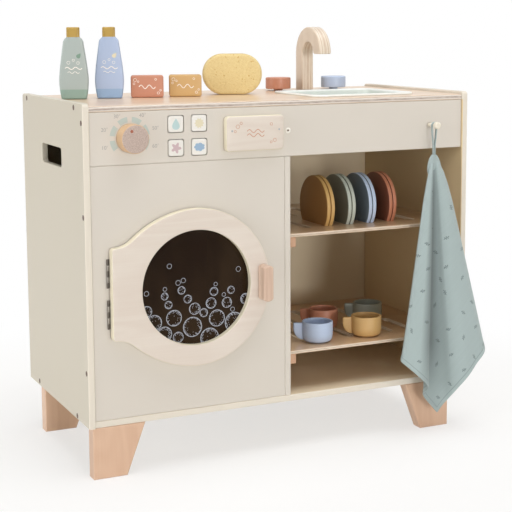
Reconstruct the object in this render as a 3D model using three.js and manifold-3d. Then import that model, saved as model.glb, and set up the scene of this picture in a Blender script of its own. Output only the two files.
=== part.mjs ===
// A child's play laundry unit: a washing machine with a round door beside a small sink and two slotted
// shelves, on four splayed legs. Millimetres, +Z up, front towards -Y. The origin is on the floor,
// under the middle of the whole unit's box.
import * as THREE from 'three'
import { mergeVertices } from 'three/addons/utils/BufferGeometryUtils.js'
import Module from 'manifold-3d'

const wasm = await Module()
wasm.setup()

// Clearances and facets
const seam = 0.3
const overrun = 5
const facetSag = 0.2
const fineSag = 0.12
const fewestFacets = 12
const quarterTurn = Math.PI / 2
const halfTurn = Math.PI
const fullTurn = 2 * Math.PI

// Cabinet boards
const machineWidth = 286.2
const kitchenWidth = 286.2
const cabinetDepth = 295
const sideHeight = 439
const boardThickness = 9
const boardEdge = 0.8
const worktopThickness = 8
const worktopEdge = 1
const backThickness = 6
const sideRise = 4
const sideCornerRadius = 5
const frontSetback = 2.5
const fasciaHeight = 71

const cabinetWidth = machineWidth + kitchenWidth + 3 * boardThickness + 2 * seam
const insideLeft = boardThickness + seam
const insideRight = cabinetWidth - boardThickness - seam
const worktopTop = sideHeight - sideRise
const worktopBottom = worktopTop - worktopThickness
const fasciaTop = worktopBottom - seam
const fasciaBottom = fasciaTop - fasciaHeight
const fasciaMiddle = fasciaTop - fasciaHeight / 2
const fasciaBack = frontSetback + boardThickness
const dividerLeft = insideLeft + machineWidth
const dividerRight = dividerLeft + boardThickness
const backFront = cabinetDepth - backThickness
const floorTop = boardThickness + seam
const panelTop = fasciaBottom - seam

// Hand slots in the side panels
const handSlotWidth = 96
const handSlotHeight = 27
const handSlotRadius = 5
const handSlotDrop = 80

// Legs
const legHeight = 72
const legThickness = 21
const legFootWidth = 48
const legHeadWidth = 75
const legEdge = 1.2
const legFrontInset = 2
const legBackInset = 38
const leftLegInset = 6
const rightLegInset = 27

// Shelves with two rows of slots, on battens
const shelfThickness = 5
const shelfEdge = 0.5
const shelfSetback = 11.5
const upperShelfShare = 0.6823
const lowerShelfShare = 0.1998
const slotColumns = 6
const slotPitch = 35.4
const slotWidth = 14.2
const slotLength = 84
const slotRowGap = 30
const battenSize = 15
const battenEdge = 1
const battenSetback = 4

const upperShelfTop = upperShelfShare * panelTop
const lowerShelfTop = lowerShelfShare * panelTop
const shelfLeft = dividerRight + seam
const shelfMiddle = (shelfLeft + insideRight) / 2
const shelfBack = backFront - seam
const shelfDepth = shelfBack - shelfSetback
const shelfCentreY = (shelfSetback + shelfBack) / 2
const slotRowShift = (slotLength + slotRowGap) / 2

// Door, with a straight tab on its hinge side
const doorThickness = 12
const doorEdge = 2
const doorGap = 2.5
const doorCentreShare = 0.5091
const doorHeightShare = 0.5019
const doorRadiusShare = 0.3826
const doorRingWidth = 29.5
const shoulderRadiusShare = 1.37
const shoulderStart = THREE.MathUtils.degToRad(100)
const tabHalfHeight = 63
const tabCornerRadius = 4
const paneThickness = 3
const paneLap = 6
const portholeInset = 4

const doorCentreX = insideLeft + doorCentreShare * machineWidth
const doorCentreZ = floorTop + doorHeightShare * (panelTop - floorTop)
const doorRadius = doorRadiusShare * machineWidth
const windowRadius = doorRadius - doorRingWidth
const portholeRadius = windowRadius - portholeInset
const shoulderRadius = shoulderRadiusShare * doorRadius
const doorBack = frontSetback - doorGap
const doorFront = doorBack - doorThickness

// Butt hinges
const hingeLength = 40
const hingeSpread = 28
const hingeInset = 20.9
const leafWidth = 18
const leafThickness = 0.8
const barrelRadius = 2.3
const hingePinRadius = 1.2
const endKnuckleLength = 12
const knuckleGap = 0.4

const hingeAxisX = insideLeft + hingeInset
const hingeAxisY = frontSetback - seam - barrelRadius
const tabLeft = hingeAxisX + barrelRadius + seam
const fixedLeafBack = frontSetback - seam
const doorLeafFront = doorBack + seam

// Door handle and magnetic catch
const handleWidth = 15
const handleHeight = 51
const handleDepth = 20
const handleEndRadius = 10
const handleEdge = 1.5
const handleRimInset = 3.5
const gripRadius = 4
const gripBite = 2.5
const gripStandoff = 4.5
const magnetRadius = 4.5
const magnetDepth = 5
const strikeRadius = 6
const strikeThickness = 1.2
const catchRimInset = 12.5

// Temperature dial
const dialRadius = 19.5
const dialDepth = 22
const dialEdge = 1.2
const dialTenonRadius = 4
const dialTenonReach = 10
const dialCentreShare = 0.1981

const dialCentreX = insideLeft + dialCentreShare * machineWidth

// Push buttons, two by two, in a housing behind the fascia
const buttonSize = 22
const buttonRadius = 3
const buttonEdge = 1
const buttonProud = 1
const buttonGap = 1
const buttonPitchX = 34
const buttonPitchZ = 32.4
const buttonsShare = 0.5455
const buttonTravel = 3
const buttonFlange = 2.5
const buttonFlangeThickness = 2
const stemRadius = 4
const stemReach = 2.5
const housingWall = 3
const housingBackThickness = 6
const housingFree = 3

// Soap drawer
const drawerPlateWidth = 88
const drawerPlateHeight = 48.5
const drawerPlateThickness = 12
const drawerPlateRadius = 5
const drawerPlateEdge = 2
const drawerDividerGap = 6.5
const drawerLap = 5.5
const trayDepth = 85
const trayWall = 4
const guideWall = 4
const guideHeight = 24

const drawerCentreX = dividerLeft - drawerDividerGap - drawerPlateWidth / 2
const dialRight = dialCentreX + dialRadius
const drawerLeft = drawerCentreX - drawerPlateWidth / 2
const buttonsCentreX = dialRight + buttonsShare * (drawerLeft - dialRight)

// Sink, tap and tap knobs
const sinkWidth = 172
const sinkLength = 152
const sinkRadius = 22
const sinkCornerSteps = 6
const sinkRim = 9
const sinkRimHeight = 2.6
const sinkDepth = 54
const sinkWall = 2
const sinkTaper = 8
const sinkFloorRound = 8
const sinkFrontInset = 33
const sinkSideShift = 1
const tapOuterRadius = 42
const tapInnerRadius = 18.5
const tapThickness = 20
const tapHeight = 100
const tapEdge = 1.5
const tapBackInset = 38
const tenonRadius = 6
const knobRadius = 20
const knobHeight = 18
const knobEdge = 1.5
const knobRise = 2.5
const knobCollarRadius = 7
const spindleRadius = 5
const knobSpread = 50
const tapSideShift = 4
const knobBackInset = 55
const tailLength = 14

const sinkCentreX = shelfMiddle - sinkSideShift
const sinkCentreY = sinkFrontInset + sinkLength / 2
const tapBackY = cabinetDepth - tapBackInset
const tapCentreY = tapBackY - tapOuterRadius
const tapPostY = tapBackY - (tapOuterRadius - tapInnerRadius) / 2
const tapCentreX = shelfMiddle + tapSideShift
const knobCentreY = cabinetDepth - knobBackInset

// Towel peg
const pegRadius = 3
const pegLength = 25
const pegHeadRadius = 5.2
const pegHeadLength = 8
const pegInset = 65.5

// Towel: a square cloth hung by a corner from a loop
const towelSide = 274
const towelThickness = 1.2
const towelDrop = 46
const towelStart = 24
const towelFlareStart = 50
const towelFlareLength = 350
const towelColumns = 40
const towelRows = 9
const gatherDepthShare = 0.6
const loopWidth = 5
const loopThickness = 1.5
const loopEyeShare = 0.6
const loopStandoff = 1

// Plates, cups and washing things
const plateRadius = 45.5
const plateThickness = 6.2
const plateEdge = 1.4
const plateGap = 0.8
const cupRadius = 23
const cupHeight = 31
const cupWall = 3
const cupFootRadius = 13
const cupFootHeight = 1.6
const cupBelly = 11
const cupBellySteps = 3
const cupTabThickness = 7
const cupTabReach = 13
const cupTabHeight = 25
const cupTabDrop = 2.5

// Where the cups stand, as shares of the lower shelf's width and depth from its front left corner, with the
// turn of each handle in degrees.
const cupShares = {
  blue: [0.2316, 0.1281, -22],
  terracotta: [0.4029, 0.395, -38],
  mustard: [0.5254, 0.1317, -22],
  green: [0.6932, 0.4203, -30]
}

const bottleThickness = 20
const bottleEdge = 2
const bottleHeight = 105
const bottleWidthShare = 0.1252
const barWidthShare = 0.1352
const barDepth = 24
const barHeight = 32
const barRadius = 3
const barEdge = 1.5
const spongeWidthShare = 0.2532
const spongeHeight = 61
const spongeThickness = 28
const spongeEdge = 5
const displayTurn = THREE.MathUtils.degToRad(-20)

// Where the washing things stand, as shares of the worktop's width left of the sink and of its depth.
const washingShares = {
  greenBottle: [0.0987, 0.5898],
  blueBottle: [0.2467, 0.5763],
  terracottaBar: [0.4032, 0.5525],
  mustardBar: [0.5654, 0.5288],
  sponge: [0.8016, 0.5831]
}

const washingSpan = sinkCentreX - sinkWidth / 2 - insideLeft
const bottleWidth = bottleWidthShare * washingSpan
const barWidth = barWidthShare * washingSpan
const spongeWidth = spongeWidthShare * washingSpan

const materials = {
  cream: material(0xddd6c9, 0.55),
  creamSide: material(0xd3cdb9, 0.55),
  worktopPly: material(0xe2c4a2, 0.5),
  shelfPly: material(0xd8bf9e, 0.55),
  doorPly: material(0xe8dbcc, 0.55),
  beech: material(0xd4ac8c, 0.6),
  palePly: material(0xe3d2b8, 0.6),
  smoked: material(0x2c211b, 0.15),
  steel: material(0x6d665c, 0.4, 0.9),
  white: material(0xf0eeea, 0.5),
  basin: material(0xe8efec, 0.3),
  teal: material(0xa5b6b6, 0.95),
  blue: material(0xb5c6e2, 0.45),
  greyGreen: material(0x9aa59a, 0.45),
  sage: material(0xbfc8bc, 0.45),
  mustard: material(0xd0aa70, 0.45),
  terracotta: material(0xc07c60, 0.45),
  sponge: material(0xeacb7c, 0.9)
}

function material (color, roughness, metalness = 0) {
  return new THREE.MeshStandardMaterial({ color, roughness, metalness })
}

// Joining and cutting of closed solids

function solidOf (geometry) {
  const bare = geometry.clone()
  bare.deleteAttribute('normal')
  bare.deleteAttribute('uv')
  const merged = mergeVertices(bare)
  const vertProperties = new Float32Array(merged.attributes.position.array)
  const triVerts = new Uint32Array(merged.index.array)
  return new wasm.Manifold(new wasm.Mesh({ numProp: 3, vertProperties, triVerts }))
}

function geometryOf (solid) {
  const mesh = solid.getMesh()
  const geometry = new THREE.BufferGeometry()
  geometry.setAttribute('position', new THREE.BufferAttribute(mesh.vertProperties, 3))
  geometry.setIndex(new THREE.BufferAttribute(mesh.triVerts, 1))
  geometry.computeVertexNormals()
  return geometry
}

function cut (base, tools) {
  return geometryOf(tools.reduce((left, tool) => left.subtract(solidOf(tool)), solidOf(base)))
}

function join (parts) {
  return geometryOf(parts.map(solidOf).reduce((whole, part) => whole.add(part)))
}

// Profiles. An arc gets as many facets as keep it within the sag of its true curve.

function facetsOf (radius, span, sag = facetSag) {
  return Math.max(2, Math.ceil(Math.abs(span) / (2 * Math.acos(1 - sag / radius))))
}

function arc (x, y, radius, from, to, steps = facetsOf(radius, to - from)) {
  return Array.from({ length: steps + 1 }, (_, step) => {
    const angle = from + (to - from) * step / steps
    return new THREE.Vector2(x + radius * Math.cos(angle), y + radius * Math.sin(angle))
  })
}

function roundedPoints (left, bottom, right, top, radius, steps = facetsOf(radius, quarterTurn)) {
  const corners = [[right - radius, top - radius], [left + radius, top - radius],
    [left + radius, bottom + radius], [right - radius, bottom + radius]]
  return corners.flatMap(([x, y], index) =>
    arc(x, y, radius, index * quarterTurn, (index + 1) * quarterTurn, steps))
}

function roundedRectangle (left, bottom, right, top, radius) {
  return new THREE.Shape(roundedPoints(left, bottom, right, top, radius))
}

function centredRectangle (width, height, radius) {
  return roundedRectangle(-width / 2, -height / 2, width / 2, height / 2, radius)
}

function polygon (points) {
  return new THREE.Shape(points.map(([x, y]) => new THREE.Vector2(x, y)))
}

// A slot drawn along Y with half-round ends.
function slotOutline (centreX, centreY, width, length) {
  const radius = width / 2
  const reach = length / 2 - radius
  return new THREE.Shape([...arc(centreX, centreY + reach, radius, 0, halfTurn),
    ...arc(centreX, centreY - reach, radius, halfTurn, fullTurn)])
}

// The three ways that a board can face

// Lies flat: drawn in X and Y, thickness upwards from zero. The edge is a chamfer all round.
function flatBoard (shape, thickness, edge = 0) {
  const geometry = new THREE.ExtrudeGeometry(shape, {
    depth: thickness - 2 * edge,
    bevelEnabled: edge > 0,
    bevelThickness: edge,
    bevelSize: edge,
    bevelOffset: -edge,
    bevelSegments: 1
  })
  return geometry.translate(0, 0, edge)
}

// Faces the front: drawn in X and Z, thickness backwards from zero.
function frontBoard (shape, thickness, edge = 0) {
  return flatBoard(shape, thickness, edge).rotateX(quarterTurn).translate(0, thickness, 0)
}

// Faces a side: drawn in Y and Z, thickness to the right from zero.
function sideBoard (shape, thickness, edge = 0) {
  return flatBoard(shape, thickness, edge).rotateX(quarterTurn).rotateZ(quarterTurn)
}

// A turned piece standing on Z, from the radius and height of each profile point, axis to axis.
function turned (profile, sag = facetSag) {
  const points = profile.map(([radius, height]) => new THREE.Vector2(radius, height))
  const widest = Math.max(...profile.map(([radius]) => radius))
  const quarterFacets = Math.ceil(facetsOf(widest, fullTurn, sag) / 4)
  const facets = Math.max(fewestFacets, 4 * quarterFacets)
  return new THREE.LatheGeometry(points, facets).rotateX(quarterTurn)
}

function rod (radius, length, sag = facetSag) {
  return turned([[0, 0], [radius, 0], [radius, length], [0, length]], sag)
}

// A rod that starts at zero and runs backwards along Y.
function backwardRod (radius, length, sag = facetSag) {
  return rod(radius, length, sag).rotateX(-quarterTurn)
}

function block (width, depth, height) {
  return new THREE.BoxGeometry(width, depth, height).translate(width / 2, depth / 2, height / 2)
}

// The scene

const unit = new THREE.Group()

function place (name, geometry, look, x = 0, y = 0, z = 0, turn = 0) {
  const mesh = new THREE.Mesh(geometry, look)
  mesh.name = name
  mesh.position.set(x, y, z)
  mesh.rotation.z = turn
  unit.add(mesh)
  return mesh
}

// Cabinet

function sidePanel () {
  const topCentre = sideHeight - sideCornerRadius
  const outline = new THREE.Shape([new THREE.Vector2(), new THREE.Vector2(cabinetDepth, 0),
    ...arc(cabinetDepth - sideCornerRadius, topCentre, sideCornerRadius, 0, quarterTurn),
    ...arc(sideCornerRadius, topCentre, sideCornerRadius, quarterTurn, halfTurn)])
  const middleY = cabinetDepth / 2
  const middleZ = sideHeight - handSlotDrop
  outline.holes.push(roundedRectangle(middleY - handSlotWidth / 2, middleZ - handSlotHeight / 2,
    middleY + handSlotWidth / 2, middleZ + handSlotHeight / 2, handSlotRadius))
  return sideBoard(outline, boardThickness, boardEdge)
}

function divider () {
  const back = backFront - seam
  const outline = polygon([[frontSetback, floorTop], [back, floorTop], [back, fasciaTop],
    [fasciaBack + seam, fasciaTop], [fasciaBack + seam, panelTop], [frontSetback, panelTop]])
  return sideBoard(outline, boardThickness, boardEdge)
}

function buildCabinet () {
  place('left_side_panel', sidePanel(), materials.creamSide)
  place('right_side_panel', sidePanel(), materials.creamSide, cabinetWidth - boardThickness)
  place('centre_divider', divider(), materials.cream, dividerLeft)
  const floor = polygon([[insideLeft, frontSetback], [insideRight, frontSetback],
    [insideRight, backFront - seam], [insideLeft, backFront - seam]])
  place('bottom_panel', flatBoard(floor, boardThickness, boardEdge), materials.cream)
  const back = polygon([[insideLeft, 0], [insideRight, 0], [insideRight, fasciaTop], [insideLeft, fasciaTop]])
  place('back_panel', frontBoard(back, backThickness, boardEdge), materials.cream, 0, backFront)
  place('worktop', worktop(), materials.worktopPly, 0, 0, worktopBottom)
  place('fascia', fascia(), materials.cream, 0, frontSetback)
  place('machine_front_panel', machineFrontPanel(), materials.cream, 0, frontSetback)
}

function worktop () {
  const board = polygon([[insideLeft, frontSetback], [insideRight, frontSetback],
    [insideRight, cabinetDepth], [insideLeft, cabinetDepth]])
  const lap = sinkRim - sinkWall - seam
  const cutOut = centredRectangle(sinkWidth - 2 * lap, sinkLength - 2 * lap, sinkRadius - lap)
  const height = worktopThickness + 2 * overrun
  const holes = [flatBoard(cutOut, height).translate(sinkCentreX, sinkCentreY, -overrun),
    rod(tenonRadius + seam, height).translate(tapCentreX, tapPostY, -overrun)]
  for (const side of [-1, 1]) {
    const spindleHole = rod(spindleRadius + seam, height)
    holes.push(spindleHole.translate(tapCentreX + side * knobSpread, knobCentreY, -overrun))
  }
  return cut(flatBoard(board, worktopThickness, worktopEdge), holes)
}

function buttonPlaces () {
  const places = []
  for (const row of [1, -1]) {
    for (const column of [-1, 1]) {
      places.push([buttonsCentreX + column * buttonPitchX / 2, fasciaMiddle + row * buttonPitchZ / 2])
    }
  }
  return places
}

function fascia () {
  const board = polygon([[insideLeft, fasciaBottom], [insideRight, fasciaBottom],
    [insideRight, fasciaTop], [insideLeft, fasciaTop]])
  const depth = boardThickness + 2 * overrun
  const hole = (width, height, radius, x) =>
    frontBoard(centredRectangle(width, height, radius), depth).translate(x, -overrun, fasciaMiddle)
  const holeSize = buttonSize + 2 * buttonGap
  const holes = buttonPlaces().map(([x, z]) =>
    hole(holeSize, holeSize, buttonRadius, x).translate(0, 0, z - fasciaMiddle))
  const drawerWidth = drawerPlateWidth - 2 * drawerLap
  const drawerHeight = drawerPlateHeight - 2 * drawerLap
  holes.push(hole(drawerWidth, drawerHeight, seam, drawerCentreX))
  const dialHole = backwardRod(dialTenonRadius + seam, depth)
  holes.push(dialHole.translate(dialCentreX, -overrun, fasciaMiddle))
  const pegHole = backwardRod(pegRadius + seam, depth)
  holes.push(pegHole.translate(cabinetWidth - pegInset, -overrun, fasciaMiddle))
  return cut(frontBoard(board, boardThickness, boardEdge), holes)
}

function machineFrontPanel () {
  const right = dividerLeft - seam
  const outline = polygon([[insideLeft, floorTop], [right, floorTop],
    [right, panelTop], [insideLeft, panelTop]])
  const porthole = backwardRod(portholeRadius, boardThickness + 2 * overrun, fineSag)
  const catchX = doorCentreX + doorRadius - catchRimInset
  const pocket = backwardRod(magnetRadius + seam, magnetDepth + overrun)
  return cut(frontBoard(outline, boardThickness, boardEdge),
    [porthole.translate(doorCentreX, -overrun, doorCentreZ), pocket.translate(catchX, -overrun, doorCentreZ)])
}

// Legs: straight on the outside, sloping on the inside

function leg () {
  const top = legHeight - seam
  const outline = polygon([[0, 0], [legFootWidth, 0], [legHeadWidth, top], [0, top]])
  return frontBoard(outline, legThickness, legEdge)
}

function mirroredLeg () {
  const top = legHeight - seam
  const outline = polygon([[0, 0], [0, top], [-legHeadWidth, top], [-legFootWidth, 0]])
  return frontBoard(outline, legThickness, legEdge)
}

function buildLegs () {
  const backY = cabinetDepth - legBackInset - legThickness
  const rightX = cabinetWidth - rightLegInset
  place('front_left_leg', leg(), materials.beech, leftLegInset, legFrontInset, -legHeight)
  place('front_right_leg', mirroredLeg(), materials.beech, rightX, legFrontInset, -legHeight)
  place('rear_left_leg', leg(), materials.beech, leftLegInset, backY, -legHeight)
  place('rear_right_leg', mirroredLeg(), materials.beech, rightX, backY, -legHeight)
}

// Shelves

function slotCentreX (column) {
  return shelfMiddle + (column - (slotColumns - 1) / 2) * slotPitch
}

function shelf () {
  const outline = polygon([[shelfLeft, shelfSetback], [insideRight, shelfSetback],
    [insideRight, shelfBack], [shelfLeft, shelfBack]])
  const slots = []
  for (const row of [-1, 1]) {
    for (let column = 0; column < slotColumns; column++) {
      const slot = slotOutline(slotCentreX(column), shelfCentreY + row * slotRowShift, slotWidth, slotLength)
      slots.push(flatBoard(slot, shelfThickness + 2 * overrun).translate(0, 0, -overrun))
    }
  }
  return cut(flatBoard(outline, shelfThickness, shelfEdge), slots)
}

function batten () {
  const section = polygon([[0, 0], [battenSize, 0], [battenSize, battenSize], [0, battenSize]])
  return frontBoard(section, shelfDepth - 2 * battenSetback, battenEdge)
}

function buildShelves () {
  const levels = { upper: upperShelfTop, lower: lowerShelfTop }
  const leftX = dividerRight + seam
  const rightX = insideRight - battenSize
  for (const [level, top] of Object.entries(levels)) {
    const underside = top - shelfThickness
    const battenZ = underside - seam - battenSize
    const battenY = shelfSetback + battenSetback
    place(`${level}_shelf`, shelf(), materials.shelfPly, 0, 0, underside)
    place(`${level}_left_batten`, batten(), materials.beech, leftX, battenY, battenZ)
    place(`${level}_right_batten`, batten(), materials.beech, rightX, battenY, battenZ)
  }
}

// Door. The outline follows the round rim, leaves it along a flatter shoulder, and turns through a
// hollow fillet into the straight tab that carries the hinges.

// The fillet touches the shoulder, and the tab's top edge where its corner starts.
function doorArcs () {
  const shoulderX = (doorRadius - shoulderRadius) * Math.cos(shoulderStart)
  const shoulderZ = (doorRadius - shoulderRadius) * Math.sin(shoulderStart)
  const tabEnd = tabLeft - doorCentreX + tabCornerRadius
  const run = tabEnd - shoulderX
  const rise = tabHalfHeight - shoulderZ
  const fillet = (run ** 2 + rise ** 2 - shoulderRadius ** 2) / (2 * (shoulderRadius - rise))
  const meeting = Math.atan2(rise + fillet, run)
  return { shoulderX, shoulderZ, tabEnd, fillet, meeting }
}

function doorOutline () {
  const { shoulderX, shoulderZ, tabEnd, fillet, meeting } = doorArcs()
  const corner = tabHalfHeight - tabCornerRadius
  const rim = arc(0, 0, doorRadius, 0, shoulderStart, facetsOf(doorRadius, shoulderStart, fineSag))
  const shoulder = arc(shoulderX, shoulderZ, shoulderRadius, shoulderStart, meeting)
  const hollow = arc(tabEnd, tabHalfHeight + fillet, fillet, meeting - halfTurn, -quarterTurn)
  const tab = arc(tabEnd, corner, tabCornerRadius, quarterTurn, halfTurn)
  const upper = [...rim, ...shoulder.slice(1), ...hollow.slice(1), ...tab.slice(1)]
  const lower = upper.slice(1).reverse().map(p => new THREE.Vector2(p.x, -p.y))
  return new THREE.Shape([...upper, ...lower])
}

function doorRing () {
  const plate = frontBoard(doorOutline(), doorThickness, doorEdge)
  const porthole = backwardRod(windowRadius, doorThickness + 2 * overrun, fineSag)
  const rebate = backwardRod(windowRadius + paneLap, paneThickness + seam + overrun, fineSag)
  const strikePocket = backwardRod(strikeRadius + seam, strikeThickness + seam + overrun)
  return cut(plate, [porthole.translate(0, -overrun, 0),
    rebate.translate(0, doorThickness - paneThickness - seam, 0),
    strikePocket.translate(doorRadius - catchRimInset, doorThickness - strikeThickness - seam, 0)])
}

function doorHandle () {
  const halfWidth = handleWidth / 2
  const rise = Math.sqrt(handleEndRadius ** 2 - halfWidth ** 2)
  const endCentre = handleHeight / 2 - handleEndRadius
  const spread = Math.atan2(rise, halfWidth)
  const outline = new THREE.Shape([...arc(0, endCentre, handleEndRadius, spread, halfTurn - spread),
    ...arc(0, -endCentre, handleEndRadius, halfTurn + spread, fullTurn - spread)])
  const bar = frontBoard(outline, handleDepth, handleEdge)
  const groove = rod(gripRadius, handleHeight + 2 * overrun)
  const grooves = [-1, 1].map(side => groove.clone().translate(
    side * (halfWidth + gripRadius - gripBite), handleDepth - gripStandoff, -handleHeight / 2 - overrun))
  return cut(bar, grooves)
}

// A hinge leaf drawn round its axis: plate outline in X and Z, with the knuckles that belong to it.
function leafPlate (knuckleSpans, backY) {
  const near = barrelRadius + seam
  const strip = block(leafWidth, leafThickness, hingeLength).translate(near, backY - leafThickness, 0)
  const bridges = knuckleSpans.map(([low, high]) =>
    block(near + overrun, leafThickness, high - low).translate(0, backY - leafThickness, low))
  return [strip, ...bridges]
}

function fixedLeaf () {
  const spans = [[0, endKnuckleLength], [hingeLength - endKnuckleLength, hingeLength]]
  const knuckles = spans.map(([low, high]) => rod(barrelRadius, high - low).translate(0, 0, low))
  const pin = rod(hingePinRadius, hingeLength)
  return join([...leafPlate(spans, fixedLeafBack - hingeAxisY), ...knuckles, pin])
}

function doorLeaf () {
  const low = endKnuckleLength + knuckleGap
  const high = hingeLength - endKnuckleLength - knuckleGap
  const knuckle = rod(barrelRadius, high - low).translate(0, 0, low)
  const plate = leafPlate([[low, high]], doorLeafFront + leafThickness - hingeAxisY)
  const bore = rod(hingePinRadius + seam, hingeLength + 2 * overrun).translate(0, 0, -overrun)
  return cut(join([...plate, knuckle]), [bore])
}

function buildDoor () {
  place('door_ring', doorRing(), materials.doorPly, doorCentreX, doorFront, doorCentreZ)
  const pane = backwardRod(windowRadius + paneLap - seam, paneThickness, fineSag)
  place('door_window', pane, materials.smoked, doorCentreX, doorBack - paneThickness, doorCentreZ)
  const handleX = doorCentreX + doorRadius - handleRimInset - handleWidth / 2
  place('door_handle', doorHandle(), materials.beech, handleX, doorFront - seam - handleDepth, doorCentreZ)
  const catchX = doorCentreX + doorRadius - catchRimInset
  const strike = backwardRod(strikeRadius, strikeThickness)
  place('door_strike_plate', strike, materials.steel, catchX, doorBack - strikeThickness, doorCentreZ)
  const magnet = backwardRod(magnetRadius, magnetDepth - seam)
  place('door_magnet', magnet, materials.steel, catchX, frontSetback, doorCentreZ)
  for (const [level, side] of [['upper', 1], ['lower', -1]]) {
    const foot = doorCentreZ + side * hingeSpread - hingeLength / 2
    place(`${level}_hinge_fixed_leaf`, fixedLeaf(), materials.steel, hingeAxisX, hingeAxisY, foot)
    place(`${level}_hinge_door_leaf`, doorLeaf(), materials.steel, hingeAxisX, hingeAxisY, foot)
  }
}

// Controls

function dial () {
  const tenonEnd = dialDepth + boardThickness + dialTenonReach
  const grip = turned([[0, 0], [dialRadius - dialEdge, 0], [dialRadius, dialEdge],
    [dialRadius, dialDepth - dialEdge], [dialRadius - dialEdge, dialDepth],
    [dialTenonRadius, dialDepth], [dialTenonRadius, tenonEnd], [0, tenonEnd]])
  return grip.rotateX(-quarterTurn)
}

function button () {
  const capDepth = boardThickness + buttonProud + seam
  const cap = frontBoard(centredRectangle(buttonSize, buttonSize, buttonRadius),
    capDepth + buttonFlangeThickness / 2, buttonEdge)
  const flangeSize = buttonSize + 2 * buttonGap + 2 * buttonFlange
  const flange = frontBoard(centredRectangle(flangeSize, flangeSize, buttonRadius), buttonFlangeThickness)
  const stemLength = buttonFlangeThickness + buttonTravel + housingFree + housingBackThickness + stemReach
  const stem = backwardRod(stemRadius, stemLength)
  return join([cap, flange.translate(0, capDepth, 0), stem.translate(0, capDepth, 0)])
}

function buttonHousing () {
  const flangeReach = buttonSize / 2 + buttonGap + buttonFlange + 2 * seam
  const halfWidth = buttonPitchX / 2 + flangeReach
  const halfHeight = buttonPitchZ / 2 + flangeReach
  const cavityDepth = buttonFlangeThickness + buttonTravel + housingFree
  const depth = cavityDepth + housingBackThickness
  const outerWidth = 2 * (halfWidth + housingWall)
  const outerHeight = 2 * (halfHeight + housingWall)
  const shell = block(outerWidth, depth, outerHeight).translate(-outerWidth / 2, 0, -outerHeight / 2)
  const cavity = block(2 * halfWidth, cavityDepth + overrun, 2 * halfHeight)
  const holes = buttonPlaces().map(([x, z]) =>
    backwardRod(stemRadius + seam, depth + overrun).translate(x - buttonsCentreX, 0, z - fasciaMiddle))
  return cut(shell, [cavity.translate(-halfWidth, -overrun, -halfHeight), ...holes])
}

function buildControls () {
  place('dial_knob', dial(), materials.beech, dialCentreX, frontSetback - seam - dialDepth, fasciaMiddle)
  const names = ['upper_left_button', 'upper_right_button', 'lower_left_button', 'lower_right_button']
  buttonPlaces().forEach(([x, z], index) => {
    place(names[index], button(), materials.white, x, frontSetback - buttonProud, z)
  })
  place('button_housing', buttonHousing(), materials.palePly, buttonsCentreX, fasciaBack + seam, fasciaMiddle)
}

// Soap drawer

function drawerTray (width, height) {
  const tray = block(width, trayDepth, height)
  const inside = block(width - 2 * trayWall, trayDepth - 2 * trayWall, height)
  return cut(tray, [inside.translate(trayWall, trayWall, trayWall)])
}

function drawerGuide (width) {
  const outerWidth = width + 2 * guideWall
  const length = trayDepth - boardThickness + guideWall
  const trough = block(outerWidth, length, guideHeight)
  const inside = block(width, length - guideWall + overrun, guideHeight)
  return cut(trough, [inside.translate(guideWall, -overrun, guideWall)])
}

function buildDrawer () {
  const trayWidth = drawerPlateWidth - 2 * drawerLap - 2 * seam
  const trayHeight = drawerPlateHeight - 2 * drawerLap - 2 * seam
  const trayBottom = fasciaMiddle - trayHeight / 2
  const plate = frontBoard(centredRectangle(drawerPlateWidth, drawerPlateHeight, drawerPlateRadius),
    drawerPlateThickness, drawerPlateEdge)
  const plateY = frontSetback - seam - drawerPlateThickness
  place('soap_drawer_front', plate, materials.doorPly, drawerCentreX, plateY, fasciaMiddle)
  place('soap_drawer_tray', drawerTray(trayWidth, trayHeight), materials.palePly,
    drawerCentreX - trayWidth / 2, frontSetback, trayBottom)
  const guideWidth = trayWidth + 2 * seam
  place('soap_drawer_guide', drawerGuide(guideWidth), materials.palePly,
    drawerCentreX - guideWidth / 2 - guideWall, fasciaBack + seam, trayBottom - seam - guideWall)
}

// Sink: one shell, from the middle of its underside out over the rim and down to the middle of its floor

function roundedRing (halfX, halfY, radius, z) {
  const points = roundedPoints(-halfX, -halfY, halfX, halfY, radius, sinkCornerSteps)
  return points.map(p => new THREE.Vector3(p.x, p.y, z))
}

// Closes a stack of equal rings into one body, with a fan at each end.
function ringStack (rings) {
  const count = rings[0].length
  const middles = [rings[0], rings[rings.length - 1]].map(ring =>
    ring.reduce((sum, p) => sum.add(p), new THREE.Vector3()).divideScalar(count))
  const points = [...rings.flat(), ...middles]
  const index = []
  for (let level = 0; level < rings.length - 1; level++) {
    for (let i = 0; i < count; i++) {
      const a = level * count + i
      const b = level * count + (i + 1) % count
      index.push(a, b, a + count, b, b + count, a + count)
    }
  }
  const last = (rings.length - 1) * count
  for (let i = 0; i < count; i++) {
    const next = (i + 1) % count
    index.push(next, i, points.length - 2)
    index.push(last + i, last + next, points.length - 1)
  }
  const geometry = new THREE.BufferGeometry().setFromPoints(points)
  geometry.setIndex(index)
  geometry.computeVertexNormals()
  return geometry
}

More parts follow.
